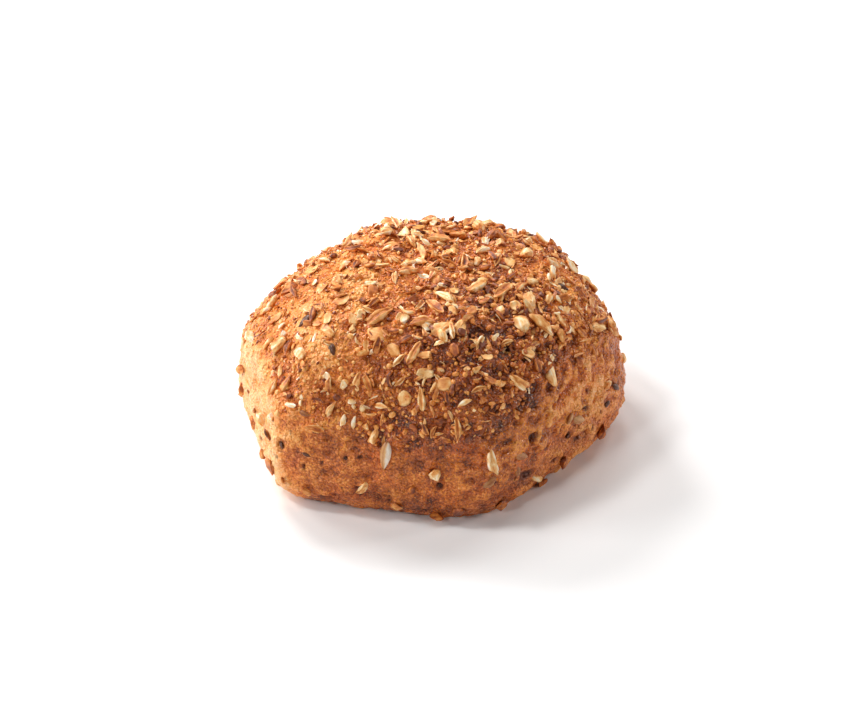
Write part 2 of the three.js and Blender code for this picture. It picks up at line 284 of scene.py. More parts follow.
@dataclass(frozen=True)
class Bake:
    """How dark the crust is baked, with painted light and shade in some patches, and how much topping lies
    on it, from place to place.
    """

    dome: float = 0.64
    side: float = 0.6
    darkest: float = 0.84
    patches: tuple[Patch, ...] = (
        Patch(195, 0.66, 52, 0.3, -0.2),
        # the pale left cut side: partly paler baking, partly painted light
        Patch(204, 1.62, 33.5, 0.66, -0.45, 0.14),
        Patch(248, 1.3, 5, 0.4, 0.08),
        Patch(212, 0.93, 30, 0.045, 0.12, 0.6),
        Patch(296, 0.86, 44, 0.22, 0.22, 0.8),
        Patch(262, 1.55, 26, 0.42, 0.05),
        Patch(335, 1.3, 32, 0.4, 0.03),
        Patch(60, 1.5, 100, 0.6, -0.06),
        # painted light on the left ridge
        Patch(242, 1.02, 12, 0.14, -0.07, 0.7),
        Patch(254, 0.78, 20, 0.13, -0.08, 0.7),
        # painted light on the left ridge
        Patch(238, 0.9, 12, 0.1, -0.05, 0.7),
        # painted shade among the crowded grain right of the crown, here and in the next patch
        Patch(330, 0.5, 26, 0.16, 0.14, 0.7),
        Patch(316, 0.6, 36, 0.24, 0.14, 0.7),
        Patch(248, 0.6, 18, 0.1, 0.1, 0.7),
        # painted sheen high on the right cut side, where the crust is painted paler
        Patch(342, 1.1, 16, 0.12, -0.2, 0.8),
        # painted light where a rim light falls, right of the crown
        Patch(2, 0.74, 18, 0.14, -0.2, 0.7),
        Patch(204, 0.36, 30, 0.16, -0.14, 0.7),
        # painted shade at the tucked-in foot
        Patch(292, 1.78, 24, 0.16, 0.12, 0.7),
        Patch(309, 1.58, 10, 0.2, 0.1, 0.7),
    )
    glazed: tuple[Patch, ...] = (
        Patch(328, 1.05, 44, 0.4, 0.9, 0.4),
        Patch(290, 0.84, 44, 0.2, 0.6, 0.6),
    )
    thin: tuple[Patch, ...] = (
        Patch(200, 0.86, 46, 0.2, 0.4),
        Patch(200, 0.5, 46, 0.26, 0.45, 0.7),
        Patch(342, 1.0, 26, 0.05, 0.8, 0.3),
    )
    stain_cell: float = 5.2
    stain_widths: tuple[float, float] = (0.3, 1.0)
    stain_rarity: float = 0.3
    stain_on_dome: float = 0.06

    def darkness(self, points: np.ndarray, azimuth: np.ndarray, station: np.ndarray) -> np.ndarray:
        """How dark the crust is, from 0 for pale to 1 for nearly burnt, with the painted light and shade of
        some patches included.

        Args:
            points: The places, in rows of three.
            azimuth: Their azimuths in degrees.
            station: Their stations.

        Returns:
            One value for each place.
        """
        total = mix(self.dome, self.side, smooth_step(0.97, 1.06, station))
        wander = 0.02 * noise(points, 5, 2)
        for patch in self.patches:
            total = total + patch.share(azimuth + 60 * wander, station + wander)
        total += 0.05 * noise(points, 11, 3) + 0.06 * noise(points, 4.5, 4)
        return np.clip(total, 0, self.darkest)

    def stain(self, points: np.ndarray, station: np.ndarray, darkness: np.ndarray) -> np.ndarray:
        """The dark spots of the skin, which are faint on the dome and where the crust is dark already.

        Args:
            points: The places, in rows of three.
            station: Their stations.
            darkness: How dark the crust is there, from baking and from painted light and shade.

        Returns:
            From 0 for clean to 1 for stained.
        """
        gap, own = nearest_site(points + 0.5 * noise(points, 1.5, 51)[:, None], self.stain_cell, 50)
        spots = (own > self.stain_rarity) * (1 - smooth_step(0.5, 1.0, gap / mix(*self.stain_widths, own)))
        spots = spots * mix(self.stain_on_dome, 1.0, smooth_step(0.95, 1.05, station))
        return spots * smooth_step(0.82, 0.68, darkness)

    def glaze(self, azimuth: np.ndarray, station: np.ndarray) -> np.ndarray:
        """How shiny the crust is baked, from 0 to 1."""
        return np.max([patch.share(azimuth, station) for patch in self.glazed], axis=0)

    def cover(self, points: np.ndarray, azimuth: np.ndarray, station: np.ndarray) -> np.ndarray:
        """How thickly the fine topping lies, from 0 for bare to 1 for crowded.

        Args:
            points: The places, in rows of three.
            azimuth: Their azimuths in degrees.
            station: Their stations.

        Returns:
            One value for each place.
        """
        edge = 0.97 + 0.035 * noise(points, 6, 7) + 0.03 * np.cos(np.radians(azimuth - 275))
        share = 1 - smooth_step(edge - 0.05, edge + 0.05, station)
        for patch in self.thin:
            share = share * (1 - patch.share(azimuth, station))
        return np.clip(share * (0.85 + 0.3 * noise(points, 5, 8)), 0, 1)


@dataclass(frozen=True)
class Pit:
    """A hollow in the crust: its width and depth, and how many times as long it is sideways."""

    azimuth: float
    station: float
    width: float
    depth: float
    long: float = 1.0

    def nearness(self, azimuth: np.ndarray, station: np.ndarray, here: np.ndarray) -> np.ndarray:
        """Distance to the pit's middle in half widths.

        Args:
            azimuth: Azimuths of the places, which are not used.
            station: Stations of the places, which are not used.
            here: The places themselves, in rows of three.

        Returns:
            One value for each place.
        """
        middle, axes = FORM.axes(np.array([self.azimuth]), np.array([self.station]))
        offset = (here - middle[0]) @ axes[0]
        offset[:, 1] /= self.long
        return np.linalg.norm(offset, axis=-1) / (self.width / 2)


FORM = RollForm()
BAKE = Bake()
PITS = (
    Pit(236, 1.29, 3.8, 1.3),
    Pit(242, 1.45, 1.8, 0.8),
    Pit(254, 1.25, 2.0, 0.7),
    Pit(258, 1.2, 1.5, 0.5),
    Pit(283, 1.46, 2.4, 0.9),
    Pit(247, 1.36, 1.6, 0.6),
    Pit(313, 1.63, 3.6, 1.3, 1.6),
    Pit(335, 1.55, 2.6, 1.0),
    Pit(343, 1.35, 2.4, 0.9),
    Pit(311, 1.84, 1.9, 1.1, 3.2),
    Pit(346, 1.57, 2.0, 0.8),
    Pit(356, 1.26, 3.0, 1.1),
    Pit(315, 1.29, 4.2, 0.9),
    Pit(305, 1.16, 2.2, 0.6, 1.8),
    Pit(222, 1.56, 2.0, 0.6),
    Pit(292, 1.9, 1.6, 0.7, 2.5),
    Pit(322, 1.5, 1.8, 0.8),
    Pit(330, 1.4, 1.6, 0.7),
    Pit(339, 1.62, 2.2, 1.0, 1.5),
    Pit(350, 1.45, 1.8, 0.8),
    Pit(328, 1.72, 1.8, 0.8, 1.8),
    Pit(317, 1.76, 1.6, 0.8),
    Pit(353, 1.62, 1.7, 0.7),
    Pit(345, 1.2, 1.6, 0.6),
    Pit(303, 0.67, 5.0, 1.1, 1.5),
    Pit(297, 0.73, 2.8, 0.8),
    Pit(313, 0.8, 3.0, 0.8, 1.4),
    Pit(318, 0.88, 2.4, 0.7, 1.6),
    Pit(316, 0.56, 2.6, 0.7),
    Pit(120, 1.4, 2.6, 0.9),
    Pit(84, 1.6, 2.0, 0.8),
    Pit(38, 1.5, 2.8, 1.0),
    Pit(152, 1.55, 2.0, 0.7),
)


def pitted(here: np.ndarray, azimuth: np.ndarray, station: np.ndarray) -> tuple[np.ndarray, np.ndarray]:
    """The pits of the cut sides.

    Args:
        here: The places on the smooth crust, in rows of three.
        azimuth: Their azimuths in degrees.
        station: Their stations.

    Returns:
        How far each place lies below the crust, in millimetres, and how deep it lies from 0 to 1.
    """
    below = np.zeros(len(here))
    inside = np.zeros(len(here))
    ragged = 0.25 * noise(here, 1.3, 9)
    for pit in PITS:
        near = pit.nearness(azimuth, station, here) + ragged
        share = 1 - smooth_step(0.35, 1.0, near)
        below += pit.depth * share - 0.12 * np.exp(-(((near - 1.15) / 0.2) ** 2))
        inside = np.maximum(inside, share)
    return below, inside


@dataclass(frozen=True)
class Relief:
    """How far the baked surface stands out of the smooth crust: heights and widths in millimetres."""

    bare_stations: tuple[float, float] = (0.9, 1.0)
    lump_heights: tuple[float, float] = (0.3, 0.34)
    lump_width: float = 4.6
    crumples: tuple[tuple[float, float, int], ...] = ((0.36, 2.1, 12), (0.3, 1.2, 13))
    bead_height: float = 0.3
    bead_cell: float = 1.5
    bead_reach: float = 0.75
    wrinkled: Patch = Patch(332, 1.15, 30, 0.4, 1.0)
    crease_heights: tuple[float, float] = (0.6, 1.3)
    crease_width: float = 2.6
    crease_level: float = 0.35
    crease_squash: tuple[float, float, float] = (1, 1, 1.4)
    pucker_height: float = 0.8
    pucker_width: float = 1.8
    streak_height: float = 0.16
    streak_width: float = 1.4
    streak_squash: tuple[float, float, float] = (1, 1, 0.3)
    pore_cell: float = 4.2
    pore_widths: tuple[float, float] = (0.25, 0.85)
    pore_rarity: float = 0.35
    pore_depth: float = 0.5

    def pores(self, points: np.ndarray) -> tuple[np.ndarray, np.ndarray]:
        """The fine pores.

        Args:
            points: The places on the smooth crust, in rows of three.

        Returns:
            Each place's distance to its nearest pore, in widths of that pore, and the pore's width.
        """
        gap, own = nearest_site(points, self.pore_cell, 20)
        width = mix(*self.pore_widths, own)
        return np.where(own > self.pore_rarity, gap / width, np.inf), width

    def height(self, points: np.ndarray, azimuth: np.ndarray, station: np.ndarray) -> np.ndarray:
        """Crumples, beads, wrinkles, pores and pits together.

        Args:
            points: The places on the smooth crust, in rows of three.
            azimuth: Their azimuths in degrees.
            station: Their stations.

        Returns:
            Millimetres outwards, one for each place.
        """
        cover = BAKE.cover(points, azimuth, station)
        bare = smooth_step(*self.bare_stations, station)
        total = mix(*self.lump_heights, cover) * noise(points, self.lump_width, 11)
        for tall, across, seed in self.crumples:
            total += tall * noise(points, across, seed)
        gap, own = nearest_site(points, self.bead_cell, 60)
        total += self.bead_height * cover * own * (1 - smooth_step(0.0, self.bead_reach, gap))
        wrinkled = self.wrinkled.share(azimuth, station)
        folds = noise(points * np.array(self.crease_squash), self.crease_width, 14)
        crease = self.crease_level - np.abs(folds)
        low, high = self.crease_heights
        pucker = self.pucker_height * wrinkled * noise(points, self.pucker_width, 16)
        total += mix(low * bare, high, wrinkled) * crease + pucker
        streaks = noise(points * np.array(self.streak_squash), self.streak_width, 15)
        total += self.streak_height * bare * streaks
        near, width = self.pores(points)
        total -= bare * self.pore_depth * width * (1 - smooth_step(0.3, 1.0, near))
        below, _ = pitted(points, azimuth, station)
        return total - below


RELIEF = Relief()


class Light(Enum):
    """Each soft light: its azimuth and elevation in degrees, distance and side in metres, and watts."""

    KEY = (136, 43, 1.0, 0.24, 5.0)
    KEY_LOW = (160, 25, 1.0, 0.3, 4.2)
    LEFT_LOW = (195, 25, 1.0, 0.3, 3.2)
    LEFT_HIGH = (196, 60, 1.0, 0.16, 2.9)
    BACK_HIGH = (100, 60, 1.0, 0.3, 2.2)
    BACK_RIGHT = (60, 45, 1.0, 0.3, 2.3)
    RIGHT_RIM = (22, 15, 1.0, 0.12, 2.3)
    FRONT_LEFT = (242, 36, 1.0, 0.12, 1.7)
    FRONT_RIGHT = (330, 25, 1.0, 0.12, 1.3)


@dataclass
class Studio:
    """The plain pale floor, the soft lights and the camera at the photo's angle."""

    view_azimuth: float = 11.27
    view_elevation: float = 32.93
    view_distance: float = 0.5332
    aim_height: float = 0.020
    focal_length: float = 85
    aim_pixel: tuple[float, float] = (434.0, 358.6)
    floor_side: float = 6.0
    sky_strength: float = 0.04
    sky_colour: tuple[float, ...] = (1, 0.985, 0.97, 1)
    floor_colour: tuple[float, ...] = (0.93, 0.925, 0.92, 1)
    floor_roughness: float = 0.9
    floor_gloss: float = 0.1

    def build(self) -> None:
        """Makes the camera, the lights, the sky and the floor."""
        scene = bpy.context.scene
        scene.view_settings.view_transform = "Standard"
        scene.view_settings.look = "None"
        scene.camera = self.camera()
        for light in Light:
            self.lamp(light)
        world = bpy.data.worlds.new("pale_sky")
        world.use_nodes = True
        sky = world.node_tree.nodes["Background"]
        sky.inputs["Color"].default_value = self.sky_colour
        sky.inputs["Strength"].default_value = self.sky_strength
        scene.world = world
        self.floor()

    def camera(self) -> bpy.types.Object:
        """The camera, aimed at the roll's axis, with the small shift of the photo's framing."""
        width, height = PHOTO_SIZE
        lens = bpy.data.cameras.new("camera")
        lens.lens = self.focal_length
        lens.shift_x = (width / 2 - self.aim_pixel[0]) / width
        lens.shift_y = (self.aim_pixel[1] - height / 2) / width
        camera = bpy.data.objects.new("camera", lens)
        bpy.context.scene.collection.objects.link(camera)
        aim = Vector((FORM.axis_at[0] * MM, FORM.axis_at[1] * MM, self.aim_height))
        turn, lift = math.radians(self.view_azimuth), math.radians(self.view_elevation)
        back = Vector((math.sin(turn) * math.cos(lift), -math.cos(turn) * math.cos(lift), math.sin(lift)))
        camera.location = aim + back * self.view_distance
        camera.rotation_euler = back.to_track_quat("Z", "Y").to_euler()
        return camera

    def lamp(self, light: Light) -> None:
        """One square soft light that faces the roll.

        Args:
            light: Which light.
        """
        azimuth, elevation, distance, side, watts = light.value
        shade = bpy.data.lights.new(light.name.lower(), "AREA")
        shade.shape = "SQUARE"
        shade.size = side
        shade.energy = watts
        lamp = bpy.data.objects.new(light.name.lower(), shade)
        bpy.context.scene.collection.objects.link(lamp)
        turn, lift = math.radians(azimuth), math.radians(elevation)
        back = Vector((math.cos(turn) * math.cos(lift), math.sin(turn) * math.cos(lift), math.sin(lift)))
        lamp.location = back * distance + Vector((0, 0, self.aim_height))
        lamp.rotation_euler = back.to_track_quat("Z", "Y").to_euler()

    def floor(self) -> None:
        """The pale floor under the roll."""
        half = self.floor_side / 2
        mesh = bpy.data.meshes.new("floor")
        corners = [(-half, -half, 0), (half, -half, 0), (half, half, 0), (-half, half, 0)]
        mesh.from_pydata(corners, [], [(0, 1, 2, 3)])
        floor = bpy.data.objects.new("floor", mesh)
        bpy.context.scene.collection.objects.link(floor)
        paper = bpy.data.materials.new("pale_floor")
        paper.use_nodes = True
        surface = paper.node_tree.nodes["Principled BSDF"]
        surface.inputs["Base Color"].default_value = self.floor_colour
        surface.inputs["Roughness"].default_value = self.floor_roughness
        surface.inputs["Specular IOR Level"].default_value = self.floor_gloss
        mesh.materials.append(paper)


@dataclass
class Wiring:
    """Short ways to add nodes to one material's tree or to a group's tree."""

    tree: bpy.types.NodeTree

    def node(self, kind: str, settings: dict | None = None, **inputs: object) -> bpy.types.Node:
        """Adds a node.

        Args:
            kind: The node's type name.
            settings: Values of the node's own properties.
            inputs: Values or output sockets for its inputs, by name with _ for a space, or by _N for a
                place.

        Returns:
            The node.
        """
        node = self.tree.nodes.new(kind)
        for name, value in (settings or {}).items():
            setattr(node, name, value)
        for name, value in inputs.items():
            key = int(name[1:]) if name[0] == "_" else name.replace("_", " ")
            if isinstance(value, bpy.types.NodeSocket):
                self.tree.links.new(value, node.inputs[key])
            else:
                node.inputs[key].default_value = value
        return node

    def math(self, operation: str, first: object, second: object = 0.0) -> bpy.types.NodeSocket:
        """The result of a Math node on two values or sockets."""
        return self.node("ShaderNodeMath", {"operation": operation}, _0=first, _1=second).outputs[0]

    def blend(self, share: object, first: object, second: object, kind: str = "MIX") -> object:
        """The socket of two colours blended by a share, in the way that kind names."""
        node = self.tree.nodes.new("ShaderNodeMix")
        node.data_type = "RGBA"
        node.blend_type = kind
        for place, value in ((0, share), (6, first), (7, second)):
            if isinstance(value, bpy.types.NodeSocket):
                self.tree.links.new(value, node.inputs[place])
            else:
                node.inputs[place].default_value = value
        return node.outputs[2]

    def ramp(self, share: object, *stops: tuple[float, tuple[float, float, float]]) -> bpy.types.NodeSocket:
        """A colour that runs through stops as the share climbs.

        Args:
            share: The socket that is read.
            stops: A place from 0 to 1 and a linear colour for each stop.

        Returns:
            The colour's socket.
        """
        node = self.node("ShaderNodeValToRGB", _0=share)
        points = node.color_ramp.elements
        while len(points) < len(stops):
            points.new(0.5)
        for point, (place, colour) in zip(points, stops):
            point.position = place
            point.color = (*colour, 1)
        return node.outputs["Color"]

    def centred(self, value: object, amount: float) -> bpy.types.NodeSocket:
        """A value from 0 to 1, moved to swing round 0 by half the amount each way."""
        return self.math("MULTIPLY", self.math("SUBTRACT", value, 0.5), amount)

    def spread(self, value: object, low: float, high: float) -> bpy.types.NodeSocket:
        """A noise's middle values, from 0.3 to 0.7, spread from low to high."""
        return self.node("ShaderNodeMapRange", _0=value, _1=0.3, _2=0.7, _3=low, _4=high).outputs[0]

    def attribute(self, name: str) -> bpy.types.NodeSocket:
        """A value that the mesh holds at each vertex."""
        return self.node("ShaderNodeAttribute", {"attribute_name": name}).outputs["Fac"]


def mottle_group() -> bpy.types.NodeTree:
    """The uneven baking that every piece shares: broad clouds, fine specks and bright flecks.

    Returns:
        The shader group, with the clouds' size and the specks' size as inputs and three masks as outputs.
    """
    group = bpy.data.node_groups.new("baked_mottling", "ShaderNodeTree")
    face = group.interface
    face.new_socket("Place", in_out="INPUT", socket_type="NodeSocketVector")
    for name, value in (("Cloud scale", 160.0), ("Speck scale", 900.0)):
        face.new_socket(name, in_out="INPUT", socket_type="NodeSocketFloat").default_value = value
    for name in ("Clouds", "Specks", "Flecks"):
        face.new_socket(name, in_out="OUTPUT", socket_type="NodeSocketFloat")
    wiring = Wiring(group)
    given = group.nodes.new("NodeGroupInput").outputs
    clouds = wiring.node(
        "ShaderNodeTexNoise", Vector=given["Place"], Scale=given["Cloud scale"], Detail=3.0, Roughness=0.6
    )
    specks = wiring.node(
        "ShaderNodeTexNoise", Vector=given["Place"], Scale=given["Speck scale"], Detail=2.0, Roughness=0.65
    )
    cells = wiring.node(
        "ShaderNodeTexVoronoi", {"feature": "F1"}, Vector=given["Place"], Scale=given["Speck scale"]
    )
    near = wiring.node("ShaderNodeMapRange", _0=cells.outputs["Distance"], _1=0.1, _2=0.42, _3=1.0, _4=0.0)
    rare = wiring.node("ShaderNodeSeparateColor", _0=cells.outputs["Color"]).outputs[0]
    few = wiring.math("GREATER_THAN", rare, 0.72)
    flecks = wiring.math("MULTIPLY", near.outputs[0], few)
    out = group.nodes.new("NodeGroupOutput").inputs
    group.links.new(clouds.outputs[0], out["Clouds"])
    group.links.new(specks.outputs[0], out["Specks"])
    group.links.new(flecks, out["Flecks"])
    return group


@dataclass(frozen=True)
class CrustFinish:
    """Baked crust: pale and orange where it is thin, deep red-brown where it caught the heat; painted light
    and shade in places.
    """

    cream: tuple[float, float, float] = (1.0, 0.56, 0.25)
    pale: tuple[float, float, float] = (0.98, 0.49, 0.19)
    golden: tuple[float, float, float] = (0.92, 0.33, 0.06)
    brown: tuple[float, float, float] = (0.63, 0.152, 0.018)
    dark: tuple[float, float, float] = (0.30, 0.060, 0.009)
    burnt: tuple[float, float, float] = (0.09, 0.018, 0.005)
    stain: tuple[float, float, float] = (0.22, 0.060, 0.015)
    bead: tuple[float, float, float] = (0.96, 0.47, 0.14)
    cloud_scale: float = 420
    speck_scale: float = 1700
    clouds: float = 0.32
    specks: float = 1.0
    specks_kept: tuple[float, float] = (0.95, 0.7)
    painted_relief_shading: float = 0.17
    roughness: tuple[float, float] = (0.27, 0.52)
    glaze: float = 0.14
    gloss: float = 0.5
    fold_scale: float = 1000.0
    fold_depth: float = 0.0015

    def build(self, mottle: bpy.types.NodeTree) -> bpy.types.Material:
        """Makes the material.

        Args:
            mottle: The shared mottling group.

        Returns:
            The material.
        """
        material = bpy.data.materials.new("baked_crust")
        material.use_nodes = True
        wiring = Wiring(material.node_tree)
        surface = material.node_tree.nodes["Principled BSDF"]
        place = wiring.node("ShaderNodeTexCoord").outputs["Object"]
        masks = wiring.node("ShaderNodeGroup", {"node_tree": mottle}, Place=place)
        masks.inputs["Cloud scale"].default_value = self.cloud_scale
        masks.inputs["Speck scale"].default_value = self.speck_scale
        uneven = wiring.centred(masks.outputs["Clouds"], self.clouds)
        bare, covered = self.specks_kept
        kept = wiring.node("ShaderNodeMapRange", _0=wiring.attribute("cover"), _3=bare, _4=covered)
        fine = wiring.centred(masks.outputs["Specks"], self.specks)
        fine = wiring.math("MULTIPLY", fine, kept.outputs[0])
        share = wiring.math("ADD", wiring.math("ADD", wiring.attribute("bake_and_painted_light"), uneven), fine)
        # painted light and shade: the crust is painted paler where its relief stands high and darker in its
        # hollows
        high = wiring.math("MULTIPLY", wiring.attribute("depth"), self.painted_relief_shading)
        share = wiring.math("SUBTRACT", share, high)
        light = ((0.0, self.cream), (0.16, self.pale), (0.4, self.golden))
        deep = ((0.58, self.brown), (0.84, self.dark), (1.0, self.burnt))
        colour = wiring.ramp(share, *light, *deep)
        hue = wiring.node("ShaderNodeTexNoise", Vector=place, Scale=110.0, Detail=2.0, Roughness=0.5)
        warm, plain, yellow = (1.0, 0.88, 0.76), (1.0, 1.0, 1.0), (1.0, 1.06, 1.0)
        tint = wiring.ramp(hue.outputs[0], (0.36, warm), (0.5, plain), (0.64, yellow))
        colour = wiring.blend(1.0, colour, tint, "MULTIPLY")
        fleck = wiring.math("MULTIPLY", masks.outputs["Flecks"], 0.45)
        colour = wiring.blend(fleck, colour, (*self.bead, 1))
        # pores and pits are painted near-burnt, which is painted shade in these hollows; stains are the
        # crust's own dark spots
        for name, amount, paint in (("stain", 0.7, self.stain), ("pore_and_pit_shade", 0.85, self.burnt)):
            spots = wiring.math("MULTIPLY", wiring.attribute(name), amount)
            colour = wiring.blend(spots, colour, (*paint, 1))
        links = material.node_tree.links
        links.new(colour, surface.inputs["Base Color"])
        rough = wiring.spread(masks.outputs["Specks"], *self.roughness)
        shine = wiring.math("MULTIPLY", wiring.attribute("glaze"), self.glaze)
        links.new(wiring.math("SUBTRACT", rough, shine), surface.inputs["Roughness"])
        surface.inputs["Specular IOR Level"].default_value = self.gloss
        fold = wiring.node(
            "ShaderNodeTexNoise", Vector=place, Scale=self.fold_scale, Detail=1.5, Roughness=0.5
        ).outputs[0]
        bump = wiring.node("ShaderNodeBump", Strength=1.0, Distance=self.fold_depth, Height=fold)
        links.new(bump.outputs[0], surface.inputs["Normal"])
        return material


@dataclass(frozen=True)
class GrainFinish:
    """Toasted grain: its colour runs from dark through tan to white with the grain's own shade."""

    name: str
    stops: tuple[tuple[float, tuple[float, float, float]], ...]
    roughness: float = 0.46
    gloss: float = 0.5
    uneven: float = 0.75
    fibre_scale: float = 1700.0
    bump: float = 0.6
    cloud_scale: float = 480
    speck_scale: float = 1700
    crease_shade_and_blotch_darker: float = 0.36
    roughness_swing: float = 0.12
    fibre_depth: float = 0.00018

    def build(self, mottle: bpy.types.NodeTree) -> bpy.types.Material:
        """Makes the material.

        Args:
            mottle: The shared mottling group.

        Returns:
            The material.
        """
        material = bpy.data.materials.new(self.name)
        material.use_nodes = True
        wiring = Wiring(material.node_tree)
        surface = material.node_tree.nodes["Principled BSDF"]
        links = material.node_tree.links
        place = wiring.node("ShaderNodeTexCoord").outputs["Object"]
        masks = wiring.node("ShaderNodeGroup", {"node_tree": mottle}, Place=place)
        masks.inputs["Cloud scale"].default_value = self.cloud_scale
        masks.inputs["Speck scale"].default_value = self.speck_scale
        own = wiring.node("ShaderNodeAttribute", {"attribute_name": "own_place"}).outputs["Vector"]
        lengthwise = (0.14, 1.0, 1.0)
        strands = wiring.node("ShaderNodeMapping", {"vector_type": "POINT"}, Vector=own, Scale=lengthwise)
        fibre = wiring.node(
            "ShaderNodeTexNoise",
            Vector=strands.outputs[0],
            Scale=self.fibre_scale,
            Detail=2.0,
            Roughness=0.5,
        ).outputs[0]
        total = wiring.math("ADD", wiring.attribute("shade"), wiring.centred(fibre, self.uneven))
        total = wiring.math("ADD", total, wiring.centred(masks.outputs["Clouds"], 1.4 * self.uneven))
        # painted shade in kernel creases and seed grooves, and random dark blotches on chunks and flakes
        crease_shade_and_blotch = wiring.math("MULTIPLY", wiring.attribute("crease_shade_and_blotch"), self.crease_shade_and_blotch_darker)
        total = wiring.math("SUBTRACT", total, crease_shade_and_blotch)
        links.new(wiring.ramp(total, *self.stops), surface.inputs["Base Color"])
        low, high = self.roughness - self.roughness_swing, self.roughness + self.roughness_swing
        rough = wiring.spread(masks.outputs["Specks"], low, high)
        links.new(rough, surface.inputs["Roughness"])
        surface.inputs["Specular IOR Level"].default_value = self.gloss
        bump = wiring.node("ShaderNodeBump", Strength=self.bump, Distance=self.fibre_depth, Height=fibre)
        links.new(bump.outputs[0], surface.inputs["Normal"])
        return material


TOASTED = (
    (0.0, (0.16, 0.032, 0.006)),
    (0.2, (0.36, 0.078, 0.010)),
    (0.4, (0.64, 0.19, 0.028)),
    (0.6, (0.84, 0.39, 0.105)),
    (0.8, (0.95, 0.64, 0.30)),
    (1.0, (0.98, 0.87, 0.68)),
)
AMBER = (
    (0.0, (0.12, 0.022, 0.004)),
    (0.3, (0.42, 0.085, 0.010)),
    (0.55, (0.68, 0.20, 0.026)),
    (0.8, (0.88, 0.37, 0.075)),
    (1.0, (0.95, 0.62, 0.26)),
)
DARK_SEED = (
    (0.0, (0.05, 0.017, 0.008)),
    (0.3, (0.13, 0.042, 0.017)),
    (0.5, (0.36, 0.12, 0.035)),
    (0.8, (0.70, 0.38, 0.15)),
    (1.0, (0.95, 0.86, 0.72)),
)


class Kind(Enum):
    """The kinds of topping, each one piece."""

    KERNEL = "kernel"
    CHUNK = "chunk"
    FLAKE = "flake"
    SEED = "seed"
    SHRED = "shred"


@dataclass(frozen=True)
class Proportions:
    """The proportions of a grain 1 long, and the share of its thickness that is sunk in the crust."""

    wide: float
    thick: float
    sunk: float


PROPORTIONS = {
    Kind.KERNEL: Proportions(0.34, 0.38, 0.26),
    Kind.CHUNK: Proportions(0.72, 0.55, 0.3),
    Kind.FLAKE: Proportions(0.75, 0.2, 0.1),
    Kind.SEED: Proportions(0.5, 0.34, 0.4),
    Kind.SHRED: Proportions(0.26, 0.07, -2.0),
}


@dataclass(frozen=True)
class Site:
    """One grain on the crust: heading 0 points down the slope, and shade runs from 0 dark to 1 white."""

    kind: Kind
    azimuth: float
    station: float
    heading: float
    length: float
    shade: float


KERNEL, CHUNK, FLAKE, SEED, SHRED = Kind

